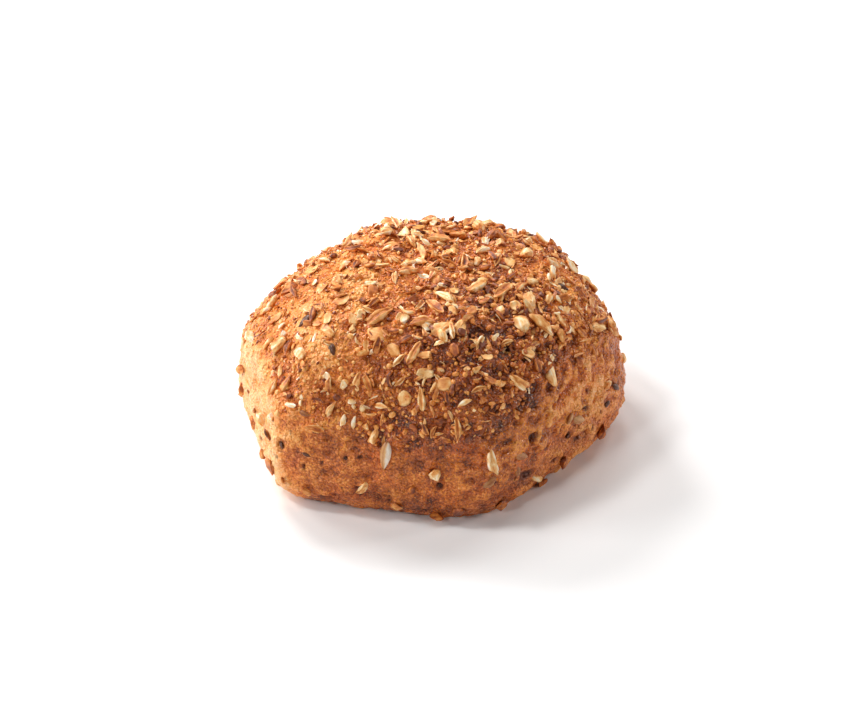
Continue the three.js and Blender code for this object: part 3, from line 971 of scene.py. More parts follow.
LANDMARKS = [
    # left of the crown
    Site(FLAKE, 189, 0.63, 0, 4.5, 0.72),
    Site(FLAKE, 178, 0.6, 10, 3.5, 0.72),
    Site(FLAKE, 209, 0.62, 30, 5, 0.68),
    Site(FLAKE, 210, 0.54, 60, 4, 0.72),
    Site(FLAKE, 227, 0.57, 0, 5, 0.62),
    Site(FLAKE, 231, 0.67, 40, 4, 0.72),
    Site(FLAKE, 206, 0.86, 0, 4, 0.73),
    Site(SEED, 221, 0.76, 0, 4.6, 0.3),
    Site(SEED, 241, 0.77, 45, 3.4, 0.3),
    Site(CHUNK, 236, 0.71, 90, 3.4, 0.62),
    Site(CHUNK, 240, 0.62, 20, 3, 0.64),
    Site(KERNEL, 214, 0.93, 0, 4.5, 0.72),
    Site(KERNEL, 232, 0.94, 0, 5, 0.66),
    Site(KERNEL, 228, 0.98, 0, 5, 0.66),
    # crown
    Site(KERNEL, 234, 0.19, -15, 7, 0.66),
    Site(KERNEL, 191, 0.12, 20, 5.5, 0.66),
    Site(KERNEL, 203, 0.3, 0, 5.5, 0.7),
    Site(KERNEL, 95, 0.22, 90, 7, 0.66),
    Site(FLAKE, 108, 0.3, 0, 4.5, 0.73),
    Site(FLAKE, 114, 0.4, 30, 4, 0.72),
    Site(FLAKE, 359, 0.28, 0, 2.8, 0.73),
    Site(FLAKE, 342, 0.3, 0, 2.8, 0.73),
    Site(FLAKE, 10, 0.4, 80, 5, 0.72),
    Site(FLAKE, 36, 0.62, 0, 4.2, 0.7),
    # middle of the front
    Site(KERNEL, 251, 0.57, -25, 8, 0.6),
    Site(KERNEL, 274, 0.57, 105, 6.8, 0.62),
    Site(KERNEL, 283, 0.47, 40, 7, 0.72),
    Site(KERNEL, 290, 0.38, 42, 6.3, 0.68),
    Site(KERNEL, 320, 0.26, -40, 4.8, 0.66),
    Site(KERNEL, 320, 0.39, -83, 7.3, 0.73),
    Site(KERNEL, 322, 0.49, 38, 3.8, 0.77),
    Site(KERNEL, 305, 0.74, 0, 3.5, 0.6),
    Site(KERNEL, 273, 0.74, -24, 6.8, 0.64),
    Site(KERNEL, 277, 0.64, 20, 3.5, 0.68),
    Site(CHUNK, 293, 0.48, 0, 3.2, 0.6),
    Site(CHUNK, 285, 0.6, 110, 4.3, 0.68),
    Site(CHUNK, 265, 0.57, 0, 3, 0.73),
    Site(FLAKE, 294, 0.62, -13, 5, 0.73),
    Site(FLAKE, 255, 0.67, 90, 6.5, 0.7),
    Site(FLAKE, 264, 0.73, 60, 4.2, 0.73),
    # right of the crown
    Site(KERNEL, 332, 0.51, 90, 7.5, 0.71),
    Site(KERNEL, 350, 0.7, 95, 4.5, 0.75),
    Site(KERNEL, 333, 0.79, 15, 8, 0.58),
    Site(KERNEL, 325, 0.85, 90, 4.2, 0.71),
    Site(KERNEL, 313, 0.77, 90, 3.8, 0.66),
    Site(KERNEL, 321, 0.92, 0, 4.5, 0.6),
    Site(KERNEL, 344, 0.82, -5, 4.4, 0.6),
    Site(KERNEL, 350, 0.9, 0, 4.5, 0.56),
    Site(KERNEL, 352, 0.97, 0, 5, 0.54),
    Site(KERNEL, 357, 0.43, 90, 3.8, 0.71),
    Site(CHUNK, 324, 0.74, -20, 4, 0.72),
    Site(CHUNK, 327, 0.98, 0, 3.8, 0.73),
    Site(CHUNK, 356, 0.57, 30, 3, 0.71),
    Site(CHUNK, 9, 0.96, 0, 4, 0.6),
    Site(SEED, 2, 0.7, 0, 3.6, 0.2),
    # along the front ridge
    Site(KERNEL, 245, 1, 90, 5.8, 0.62),
    Site(KERNEL, 253, 0.86, -5, 5, 0.72),
    Site(KERNEL, 257, 0.86, 38, 5.5, 0.7),
    Site(KERNEL, 255, 0.97, 0, 3.8, 0.77),
    Site(KERNEL, 264, 0.95, 0, 3.4, 0.56),
    Site(KERNEL, 269, 0.84, -40, 3.6, 0.73),
    Site(KERNEL, 277, 0.89, 8, 6, 0.74),
    Site(KERNEL, 281, 0.97, -25, 3.4, 0.62),
    Site(KERNEL, 289, 0.97, 0, 6.2, 0.68),
    Site(KERNEL, 291, 0.91, 115, 4, 0.72),
    Site(KERNEL, 296, 0.88, 105, 4.2, 0.7),
    Site(KERNEL, 312, 0.93, 40, 7.5, 0.69),
    Site(FLAKE, 278, 0.81, 90, 4.4, 0.82),
    Site(FLAKE, 285, 0.85, 90, 5, 0.75),
    Site(FLAKE, 271, 0.89, 0, 3.8, 0.79),
    Site(CHUNK, 237, 0.97, 90, 2.3, 0.94),
    Site(CHUNK, 249, 0.88, 0, 2.4, 0.95),
    Site(CHUNK, 252, 0.97, 0, 2.8, 0.93),
    Site(CHUNK, 262, 0.99, 0, 3.2, 0.73),
    Site(SEED, 241, 0.98, 90, 3.0, 0.55),
    # cut sides
    Site(SEED, 266, 1.12, -5, 8.2, 0.98),
    Site(KERNEL, 298, 1.23, 10, 7, 0.86),
    Site(KERNEL, 259, 1.56, 140, 5.2, 0.74),
    Site(SEED, 243, 1.3, 60, 2.3, 0.3),
    Site(SEED, 315, 1.29, 0, 4.6, 0.15),
    Site(SEED, 310, 1.38, 60, 4.6, 0.62),
    Site(SEED, 308, 1.51, 0, 3.2, 0.58),
    Site(SEED, 340, 1.44, 60, 5, 0.74),
    Site(SEED, 1, 1.33, 40, 3.6, 0.3),
    # foot
    Site(CHUNK, 197, 1.52, 0, 3.2, 0.5),
    Site(CHUNK, 213, 1.59, 0, 3.4, 0.5),
    Site(CHUNK, 225, 1.62, 0, 3.2, 0.5),
    Site(CHUNK, 230, 1.66, 0, 4.2, 0.48),
    Site(CHUNK, 247, 1.8, 0, 3.4, 0.16),
    Site(CHUNK, 269, 1.78, 90, 3, 0.6),
    Site(CHUNK, 282, 1.85, 90, 3.4, 0.36),
    Site(CHUNK, 289, 1.79, 0, 4, 0.16),
    Site(CHUNK, 303, 1.84, 0, 3.6, 0.3),
    Site(CHUNK, 325, 1.91, 60, 3.2, 0.36),
    Site(CHUNK, 334, 1.8, 0, 3.4, 0.32),
    Site(CHUNK, 355, 1.75, 0, 3.8, 0.32),
]


EXTRAS = [
    # dark seeds and nubs under the skin of the cut sides
    Site(SEED, 236, 1.3, 60, 2.6, 0.2),
    Site(SEED, 229, 1.35, 40, 3.4, 0.35),
    Site(SEED, 216, 1.41, 90, 2.4, 0.45),
    Site(SEED, 208, 1.38, 0, 2.2, 0.5),
    Site(SEED, 254, 1.25, 90, 1.6, 0.2),
    Site(SEED, 283, 1.46, 0, 1.8, 0.2),
    Site(SEED, 354, 1.42, 10, 3.4, 0.2),
    Site(SEED, 343, 1.35, 50, 1.8, 0.25),
    Site(SEED, 335, 1.56, 70, 2.2, 0.3),
    Site(CHUNK, 274, 1.51, 0, 2.2, 0.5),
    Site(CHUNK, 236, 1.67, 0, 1.8, 0.45),
    # small grain between the large ones
    Site(CHUNK, 278, 0.6, 40, 2.5, 0.95),
    Site(CHUNK, 286, 0.65, 10, 3, 0.85),
    Site(FLAKE, 336, 0.6, 0, 3, 0.8),
    Site(SHRED, 287, 0.94, 20, 3.2, 0.75),
    Site(SHRED, 299, 0.84, 60, 3.4, 0.8),
    Site(SHRED, 298, 0.97, 80, 3, 0.7),
    Site(CHUNK, 229, 1.6, 0, 1.6, 0.55),
]


@dataclass(frozen=True)
class Spiral:
    """Large grains by rule: even steps from the crown outwards, with those too near another left out."""

    dome_sites: int = 106
    side_sites: int = 44
    side_stations: tuple[float, float] = (1.12, 1.86)
    golden_angle: float = 137.508
    stray: float = 7
    nearest: float = 4.2
    darkest_grain: float = 0.45
    darkest_seed: float = 0.55
    palest: float = 0.9
    dome_grains: tuple[tuple[Kind, float, float], ...] = (
        (KERNEL, 5.5, 7.5),
        (CHUNK, 2.6, 4.4),
        (FLAKE, 3.4, 5.2),
        (CHUNK, 3, 5),
    )
    side_grains: tuple[tuple[Kind, float, float], ...] = (
        (CHUNK, 1.8, 2.8),
        (SEED, 4, 4.8),
        (CHUNK, 2.2, 3.2),
    )

    def sites(self, landmarks: list[Site]) -> list[Site]:
        """The grains of the spiral that fall clear of the landmarks and of each other.

        Args:
            landmarks: The grains that are placed first.

        Returns:
            The landmarks and the grains of the spiral after them.
        """
        found = list(landmarks)
        spots = [(site.azimuth, site.station) for site in landmarks]
        taken = list(FORM.crust(*np.array(spots, float).T))
        steps = range(1, self.dome_sites + 1)
        dome = [(i, math.sqrt((i - float(draw(i, 5))) / self.dome_sites)) for i in steps]
        steps = range(1, self.side_sites + 1)
        side = [(self.dome_sites + i, float(mix(*self.side_stations, draw(i, 6)))) for i in steps]
        choices = [self.dome_grains] * len(dome) + [self.side_grains] * len(side)
        for (index, station), grains in zip(dome + side, choices):
            azimuth = index * self.golden_angle + self.stray * (2 * float(draw(index, 1)) - 1)
            spot = FORM.crust(np.array([azimuth]), np.array([station]))[0]
            if min(np.linalg.norm(np.array(taken) - spot, axis=1)) < self.nearest:
                continue
            taken.append(spot)
            kind, shortest, longest = grains[int(draw(index, 2) * len(grains))]
            length = float(mix(shortest, longest, draw(index, 4)))
            darkest = self.darkest_seed if kind is SEED else self.darkest_grain
            shade = float(mix(darkest, self.palest, draw(index, 9)))
            found.append(Site(kind, azimuth, station, 360 * float(draw(index, 3)), length, shade))
        return found


@dataclass
class GrainMesh:
    """Many grains joined in one mesh, each vertex with its grain's shade and its place on the grain.

    The places of one grain lie pattern_step metres from those of the next, so that no two have one pattern.
    """

    points: list[np.ndarray] = field(default_factory=list)
    faces: list[tuple[int, ...]] = field(default_factory=list)
    shades: list[np.ndarray] = field(default_factory=list)
    crease_shades_and_blotches: list[np.ndarray] = field(default_factory=list)
    places: list[np.ndarray] = field(default_factory=list)
    count: int = 0
    pattern_step: float = 7 * MM

    def add(self, shape: "Shape", turn: np.ndarray, middle: np.ndarray, shade: float) -> None:
        """Adds one grain.

        Args:
            shape: The grain about the origin, in millimetres.
            turn: A matrix with the grain's length, width and thickness directions in its columns.
            middle: Where its middle goes, in millimetres about the crown's axis.
            shade: From 0 for dark to 1 for white.
        """
        self.points.append(shape.points @ turn.T + middle)
        self.faces += [tuple(self.count + corner for corner in face) for face in shape.faces]
        self.shades.append(np.clip(shade + shape.lighter, 0, 1))
        self.crease_shades_and_blotches.append(shape.crease_shade_and_blotch)
        self.places.append(shape.points * MM + self.pattern_step * len(self.points))
        self.count += len(shape.points)

    def build(self, name: str, material: bpy.types.Material, slot: str, smooth: bool) -> bpy.types.Object:
        """Makes the piece.

        Args:
            name: The piece's name.
            material: Its finish.
            slot: The record's material slot, which is not used here.
            smooth: Whether its faces are shaded round.

        Returns:
            The piece, which rides on the roll and stands for part of it.
        """
        mesh = bpy.data.meshes.new(name)
        mesh.from_pydata(FORM.to_frame(np.concatenate(self.points)).tolist(), [], self.faces)
        if smooth:
            mesh.shade_smooth()
        else:
            mesh.shade_flat()
        store(mesh, "shade", np.concatenate(self.shades))
        store(mesh, "crease_shade_and_blotch", np.concatenate(self.crease_shades_and_blotches))
        own = mesh.attributes.new("own_place", "FLOAT_VECTOR", "POINT")
        own.data.foreach_set("vector", np.concatenate(self.places).astype(np.float32).ravel())
        mesh.materials.append(material)
        return as_piece(name, mesh)


def store(mesh: bpy.types.Mesh, name: str, values: np.ndarray) -> None:
    """Keeps one number for each vertex of a mesh under a name."""
    mesh.attributes.new(name, "FLOAT", "POINT").data.foreach_set("value", values.astype(np.float32))


def as_piece(name: str, mesh: bpy.types.Mesh) -> bpy.types.Object:
    """A mesh as a piece of the roll.

    Args:
        name: The piece's name.
        mesh: Its mesh, in metres and in place.

    Returns:
        The piece, which rides on the roll and stands for part of it.
    """
    piece = bpy.data.objects.new(name, mesh)
    bpy.context.scene.collection.objects.link(piece)
    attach(piece, "root")
    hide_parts(ROLL)
    triangles = sum(len(face.vertices) - 2 for face in mesh.polygons)
    log.info("%s: %d triangles", name, triangles)
    return piece


@dataclass
class Shape:
    """A closed grain about the origin: its length along x, its width along y, its thickness along z."""

    points: np.ndarray
    faces: list[tuple[int, ...]]
    lighter: np.ndarray
    # painted shade in creases and grooves, and random dark blotches, from 0 to 1
    crease_shade_and_blotch: np.ndarray


def spindle(
    length: float, wide: float, thick: float, rings: int, sides: int
) -> tuple[np.ndarray, list[tuple[int, ...]], np.ndarray]:
    """A closed spindle with a point at each end.

    Args:
        length: Along x.
        wide: Along y, at the middle.
        thick: Along z, at the middle.
        rings: Rings of vertices between the two ends.
        sides: Vertices in a ring.

    Returns:
        Its vertices and faces, and for each vertex its place along, from 0 to 1.
    """
    along = (1 - np.cos(np.pi * np.arange(1, rings + 1) / (rings + 1))) / 2
    angle = 2 * np.pi * np.arange(sides) / sides
    swell = np.sin(np.pi * along) ** 0.72
    x = np.repeat((along - 0.5) * length, sides)
    y = np.outer(swell, np.cos(angle)).ravel() * wide / 2
    z = np.outer(swell, np.sin(angle)).ravel() * thick / 2
    points = np.vstack([[-length / 2, 0, 0], np.stack([x, y, z], -1), [length / 2, 0, 0]])
    last = len(points) - 1
    faces: list[tuple[int, ...]] = []
    for s in range(sides):
        after = (s + 1) % sides
        faces.append((0, 1 + after, 1 + s))
        for r in range(rings - 1):
            near, far = 1 + r * sides, 1 + (r + 1) * sides
            faces.append((near + s, near + after, far + after, far + s))
        faces.append((last, last - sides + s, last - sides + after))
    return points, faces, np.concatenate([[0], np.repeat(along, sides), [1]])


FINE_SPINDLE = (13, 14)
COARSE_SPINDLE = (7, 8)
SEED_SPINDLE = (11, 14)
FINE_LENGTH = 4.3
SPLIT_SEED_LENGTH = 7
SPLIT_SEED_WIDTH = 0.68


def kernel_shape(length: float, index: int, proportions: Proportions) -> Shape:
    """A whole, split or broken kernel: a bent spindle with a crease or a hollow along its top.

    Args:
        length: The kernel's length.
        index: The grain's number, for its own draws.
        proportions: Of a kernel 1 long.

    Returns:
        The kernel.
    """
    d = [float(draw(index, salt)) for salt in range(20, 29)]
    rings, sides = FINE_SPINDLE if length > FINE_LENGTH else COARSE_SPINDLE
    wide = mix(0.72, 1.1, d[6]) * proportions.wide * length
    thick = proportions.thick * length
    points, faces, along = spindle(length, wide, thick, rings, sides)
    x, y, z = points.T
    blunt = 1 + (0.5 * d[0] - 0.1) * (along - 0.5) * 2
    y, z = y * blunt, z * blunt
    rim = np.abs(y) / (wide / 2)
    open_middle = np.sin(np.pi * along) ** 0.5 * (z > 0)
    lighter = np.zeros(len(x))
    # the crease along the top, and the open middle of a split kernel, are painted darker: painted shade in
    # these recesses
    if d[2] < 0.55:
        crease_shade_and_blotch = np.exp(-((rim / 0.3) ** 2)) * open_middle
        z = z - crease_shade_and_blotch * thick * mix(0.25, 0.55, d[1])
        lighter = 0.08 * (rim > 0.75)
    elif d[2] < 0.8:
        crease_shade_and_blotch = np.clip(1 - rim**2, 0, 1) * open_middle
        z = np.where(z > 0, thick * (0.02 + 0.4 * rim**2) * open_middle, z)
        lighter = np.where(rim > 0.7, 0.12, 0.0)
    else:
        crease_shade_and_blotch = np.zeros(len(x))
        cut_top = (0.05 + 0.2 * d[3]) * thick
        lighter = np.where(z > cut_top * 0.9, 0.1, 0.0)
        z = np.minimum(z, cut_top + 0.08 * y)
    ends = (2 * along - 1) ** 2
    y = y + (d[4] - 0.5) * 0.3 * length * ends
    z = z + (d[5] - 0.3) * 0.14 * length * ends
    if d[7] > 0.6:
        x = np.minimum(x, length * mix(0.2, 0.4, d[8]) + 0.25 * y)
    points = np.stack([x, y, z], -1)
    wobble = noise(points + 50 * index, 0.8, 40)
    frayed = noise(points + 30 * index, 0.45, 44)
    points = points * (1 + 0.16 * wobble + 0.12 * frayed)[:, None]
    # darker toward the sunk underside: partly a baked tint, partly painted shade under the grain
    sunk = -0.3 * smooth_step(0.05, -0.3, z / thick)
    return Shape(points, faces, lighter + sunk + 0.1 * wobble + 0.12 * frayed, crease_shade_and_blotch)


def shred_shape(length: float, index: int, proportions: Proportions) -> Shape:
    """A curled shred of husk: a thin twisted strip that narrows to its ends.

    Args:
        length: The shred's length along its curl.
        index: The grain's number, for its own draws.
        proportions: Of a shred 1 long.

    Returns:
        The shred.
    """
    d = [float(draw(index, salt)) for salt in range(80, 87)]
    steps = 9
    along = np.linspace(-0.5, 0.5, steps)
    lean = mix(-2.4, 2.4, d[0]) * along
    sway = mix(-1.3, 1.3, d[1]) * along
    way = np.stack([np.cos(lean) * np.cos(sway), np.sin(sway), np.sin(lean) * np.cos(sway)], -1)
    line = np.cumsum(way, axis=0) * length / (steps - 1)
    line -= line.mean(0)
    across = np.stack([-np.sin(sway), np.cos(sway), np.zeros(steps)], -1)
    up = np.cross(way, across)
    roll = mix(-1.6, 1.6, d[2]) * along + mix(-0.7, 0.7, d[3])
    flat = np.cos(roll)[:, None] * across + np.sin(roll)[:, None] * up
    stand = np.cross(way, flat)
    taper = np.cos(np.pi * along * 0.93) ** mix(0.35, 0.9, d[4])
    torn = 1 + 0.5 * (np.array([float(draw(index * 11 + k, 88)) for k in range(steps)]) - 0.5)
    half = (mix(0.6, 1.5, d[5]) * proportions.wide * length / 2 * taper * torn)[:, None]
    body = mix(0.05, 0.11, d[6]) * (0.5 + 0.5 * taper)[:, None]
    ring = np.stack([line + flat * half, line + stand * body, line - flat * half, line - stand * body], 1)
    faces: list[tuple[int, ...]] = [(3, 2, 1, 0)]
    for step in range(steps - 1):
        for side in range(4):
            near, far = 4 * step, 4 * step + 4
            after = (side + 1) % 4
            faces.append((near + side, near + after, far + after, far + side))
    last = 4 * (steps - 1)
    faces.append((last, last + 1, last + 2, last + 3))
    lighter = np.tile([0.08, -0.02, 0.08, -0.1], steps)
    return Shape(ring.reshape(-1, 3), faces, lighter, np.zeros(4 * steps))


def seed_shape(length: float, index: int, proportions: Proportions) -> Shape:
    """A flattened drop-shaped seed; a long one is narrow, split along its middle and pale on one side.

    Args:
        length: The seed's length.
        index: The grain's number, which changes nothing here.
        proportions: Of a seed 1 long.

    Returns:
        The seed.
    """
    wide, thick = proportions.wide * length, proportions.thick * length
    points, faces, along = spindle(length, wide, thick, *SEED_SPINDLE)
    x, y, z = points.T
    taper = 1 - 0.7 * (along - 0.5)
    y = y * taper
    z = z * mix(1.0, 0.85, along)
    across = y / wide
    if length > SPLIT_SEED_LENGTH:
        y = SPLIT_SEED_WIDTH * y
        pale_half = np.where(across > 0.04, 0.05, -0.2)
        # the split down the middle is painted dark: painted shade in its groove
        return Shape(np.stack([x, y, z], -1), faces, pale_half, np.exp(-((across / 0.08) ** 2)))
    return Shape(np.stack([x, y, z], -1), faces, 0.08 * np.sin(9 * across), np.zeros(len(x)))


def flake_shape(length: float, index: int, proportions: Proportions) -> Shape:
    """A thin curled flake with a ragged rim.

    Args:
        length: The flake's length.
        index: The grain's number, for its own draws.
        proportions: Of a flake 1 long, which is not used here.

    Returns:
        The flake.
    """
    d = [float(draw(index, salt)) for salt in range(30, 34)]
    sectors, rings = 13, 4
    angle = 2 * np.pi * np.arange(sectors) / sectors
    ragged = 1 + 0.28 * (np.array([float(draw(index * 20 + k, 38)) for k in range(sectors)]) - 0.6)
    share = np.arange(1, rings + 1) / rings
    x = np.outer(share, ragged * np.cos(angle)).ravel() * length / 2
    y = np.outer(share, ragged * np.sin(angle)).ravel() * length / 2 * mix(0.55, 0.95, d[0])
    curl = mix(0.25, 1.1, d[1]) / length
    fold = mix(-0.5, 0.9, d[2]) / length
    middle = fold * x * x + curl * y * y
    body = np.repeat(np.sqrt(1.02 - share**2 * 0.98), sectors)
    crown = 0.5 * mix(0.1, 0.16, d[3]) * length
    thick = crown * body
    top = np.stack([x, y, middle + thick], -1)
    under = np.stack([x, y, middle - thick], -1)[: -sectors]
    top_middle, under_middle = [[0, 0, crown]], [[0, 0, -crown]]
    points = np.vstack([top_middle, top, under_middle, under])
    points[:, 2] -= np.mean(points[:, 2])
    faces: list[tuple[int, ...]] = []
    low = 1 + rings * sectors
    for s in range(sectors):
        after = (s + 1) % sectors
        faces.append((0, 1 + s, 1 + after))
        faces.append((low, low + 1 + after, low + 1 + s))
        for r in range(rings - 1):
            near, far = 1 + r * sectors, 1 + (r + 1) * sectors
            faces.append((near + s, far + s, far + after, near + after))
            far_under = (1 + (rings - 1) * sectors) if r == rings - 2 else low + 1 + (r + 1) * sectors
            near_under = low + 1 + r * sectors
            faces.append((near_under + s, near_under + after, far_under + after, far_under + s))
    wobble = noise(points + 70 * index, 0.8, 41)
    points[:, 2] += 0.12 * wobble
    crease_shade_and_blotch = np.clip(0.4 * wobble, 0, 1)
    return Shape(points, faces, 0.08 * wobble, crease_shade_and_blotch)


def ball(subdivisions: int) -> tuple[np.ndarray, list[tuple[int, ...]]]:
    """The vertices and faces of a ball of radius 1, of nearly even triangles."""
    form = bmesh.new()
    bmesh.ops.create_icosphere(form, subdivisions=subdivisions, radius=1)
    form.verts.ensure_lookup_table()
    points = np.array([vertex.co[:] for vertex in form.verts])
    faces = [tuple(vertex.index for vertex in face.verts) for face in form.faces]
    form.free()
    return points, faces


BALL_POINTS, BALL_FACES = ball(2)
CHUNK_CUTS = 11


def chunk_shape(length: float, index: int, proportions: Proportions) -> Shape:
    """A cracked piece of grain with a few flat broken faces.

    Args:
        length: The chunk's length.
        index: The grain's number, for its own draws.
        proportions: Of a chunk 1 long.

    Returns:
        The chunk.
    """
    points = BALL_POINTS.copy()
    lighter = np.zeros(len(points))
    for cut in range(CHUNK_CUTS):
        lean = 2 * float(draw(index * 9 + cut, 50)) - 1
        turn = 2 * np.pi * float(draw(index * 9 + cut, 51))
        ring = math.sqrt(1 - lean * lean)
        facing = np.array([ring * math.cos(turn), ring * math.sin(turn), lean])
        reach = mix(0.36, 0.7, float(draw(index * 9 + cut, 52)))
        over = np.maximum(0, points @ facing - reach)
        points = points - over[:, None] * facing
        if cut % 3 == 0:
            lighter = np.maximum(lighter, 0.09 * (over > 0))
    stretch = np.array([1.6, 1.6 * proportions.wide, 1.6 * proportions.thick]) * length / 2
    points = points * stretch
    wobble = noise(points + 90 * index, 0.7, 42)
    points = points * (1 + 0.12 * wobble)[:, None]
    # darker toward the sunk underside: partly a baked tint, partly painted shade under the chunk
    sunk = -0.3 * smooth_step(0.1, -0.5, BALL_POINTS[:, 2])
    return Shape(points, BALL_FACES, lighter + sunk, np.clip(0.6 * wobble, 0, 1))


MAKERS = {
    KERNEL: kernel_shape,
    CHUNK: chunk_shape,
    FLAKE: flake_shape,
    SEED: seed_shape,
    SHRED: shred_shape,
}


@dataclass(frozen=True)
class Sowing:
    """Small grains of one kind sown by rule: how many are tried, their lengths and their shades."""

    kind: Kind
    tries: int
    lengths: tuple[float, float]
    shades: tuple[float, float]
    salt: int
    nearest: float = 1.2


SOWINGS = (
    Sowing(KERNEL, 360, (2.4, 5.6), (0.35, 0.95), 100, 1.5),
    Sowing(FLAKE, 200, (1.5, 3.4), (0.35, 1.0), 200),
    Sowing(CHUNK, 500, (0.9, 2.2), (0.05, 1.0), 300),
    Sowing(SHRED, 760, (1.6, 3.8), (0.2, 1.0), 400, 0.5),
)


@dataclass
class Toppings:
    """The grains that are large enough to have a place of their own, in one mesh for each kind.

    Flakes are dimmed more than the other grains, and grain by rule is dimmed where the crust is dark, from
    baking and from painted shade.
    Tip and lean are how far such grain may turn, in radians. Small grains stand higher by small_rise of
    their thickness, and stray_share of them lie where the crust is bare.
    """

    spiral: Spiral = field(default_factory=Spiral)
    dimming: float = 0.06
    flake_dimming: float = 0.12
    bake_and_shade_dimming: float = 0.3
    undimmed_darkness: float = 0.5
    tip: float = 1.1
    lean: float = 1.3
    small_rise: float = 0.25
    stray_share: float = 0.08

    def sown(self, sowing: Sowing, large: np.ndarray) -> list[Site]:
        """Small grains of one kind between the large ones.

        Args:
            sowing: What is sown.
            large: Where the large grains are, in rows of three.

        Returns:
            The small grains.
        """
        index = np.arange(1, sowing.tries + 1)
        station = np.sqrt((index - draw(index, sowing.salt)) / sowing.tries)
        azimuth = index * self.spiral.golden_angle + 60 * draw(index, sowing.salt + 1) + sowing.salt
        spots = FORM.crust(azimuth, station)
        cover = BAKE.cover(spots, azimuth, station)
        gap = np.linalg.norm(spots[:, None] - large[None], axis=-1).min(1)
        kept = (gap > sowing.nearest) & (draw(index, sowing.salt + 2) < cover + self.stray_share)
        lengths = mix(*sowing.lengths, draw(index, sowing.salt + 3) ** 1.5)
        shades = mix(*sowing.shades, draw(index, sowing.salt + 4) ** 1.3)
        headings = 360 * draw(index, sowing.salt + 5)
        rows = zip(azimuth[kept], station[kept], headings[kept], lengths[kept], shades[kept])
        return [Site(sowing.kind, *map(float, row)) for row in rows]

    def turn(self, site: Site, index: int) -> np.ndarray:
        """A grain's own turn on the crust; grains placed by rule also tip and lean a little."""
        turn = Matrix.Rotation(math.radians(site.heading), 3, "Z")
        if index >= len(LANDMARKS):
            tip, lean = (float(draw(index, salt)) - 0.5 for salt in (70, 71))
            turn = turn @ Matrix.Rotation(self.tip * tip, 3, "Y")
            turn = turn @ Matrix.Rotation(self.lean * lean, 3, "X")
        return np.array(turn)

    def build(self, mottle: bpy.types.NodeTree) -> None:
        """Makes one piece for each kind of grain.

        Args:
            mottle: The shared mottling group.
        """
        large = self.spiral.sites(LANDMARKS)
        spots = FORM.crust(*np.array([(site.azimuth, site.station) for site in large]).T)
        sites = large + EXTRAS
        for sowing in SOWINGS:
            sites = sites + self.sown(sowing, spots)
        log.info("%d large grains, %d small ones", len(large), len(sites) - len(large))
        azimuths, stations = np.array([(site.azimuth, site.station) for site in sites]).T
        here, axes = FORM.axes(azimuths, stations)
        lift = RELIEF.height(here, azimuths, stations)
        bake_and_painted_light = BAKE.darkness(here, azimuths, stations)
        meshes = {kind: GrainMesh() for kind in Kind}
        for index, site in enumerate(sites):
            proportions = PROPORTIONS[site.kind]
            thick = proportions.thick * site.length
            rise = thick * (0.5 - proportions.sunk)
            if index >= len(large):
                rise += self.small_rise * thick
            middle = here[index] + axes[index][:, 2] * (rise + lift[index])
            shade = site.shade - (self.flake_dimming if site.kind is FLAKE else self.dimming)
            if index >= len(LANDMARKS):
                shade -= self.bake_and_shade_dimming * (bake_and_painted_light[index] - self.undimmed_darkness)
            shape = MAKERS[site.kind](site.length, index, proportions)
            meshes[site.kind].add(shape, axes[index] @ self.turn(site, index), middle, shade)
        toasted = GrainFinish("toasted_grain", TOASTED).build(mottle)
        flaked = GrainFinish(
            "pale_flake", TOASTED, roughness=0.5, uneven=0.6, fibre_scale=1100
        ).build(mottle)
        husk = GrainFinish("baked_husk", TOASTED, roughness=0.4, gloss=0.6).build(mottle)
        seeds = GrainFinish(
            "oily_seed", DARK_SEED, roughness=0.32, gloss=0.4, uneven=0.2, bump=0.2
        ).build(mottle)
        meshes[KERNEL].build("kernels", toasted, "grain", smooth=True)
        meshes[CHUNK].build("cracked_chunks", toasted, "grain", smooth=False)
        meshes[FLAKE].build("curled_flakes", flaked, "grain", smooth=True)
        meshes[SHRED].build("husk_shreds", husk, "grain", smooth=False)
        meshes[SEED].build("seeds", seeds, "seed", smooth=True)


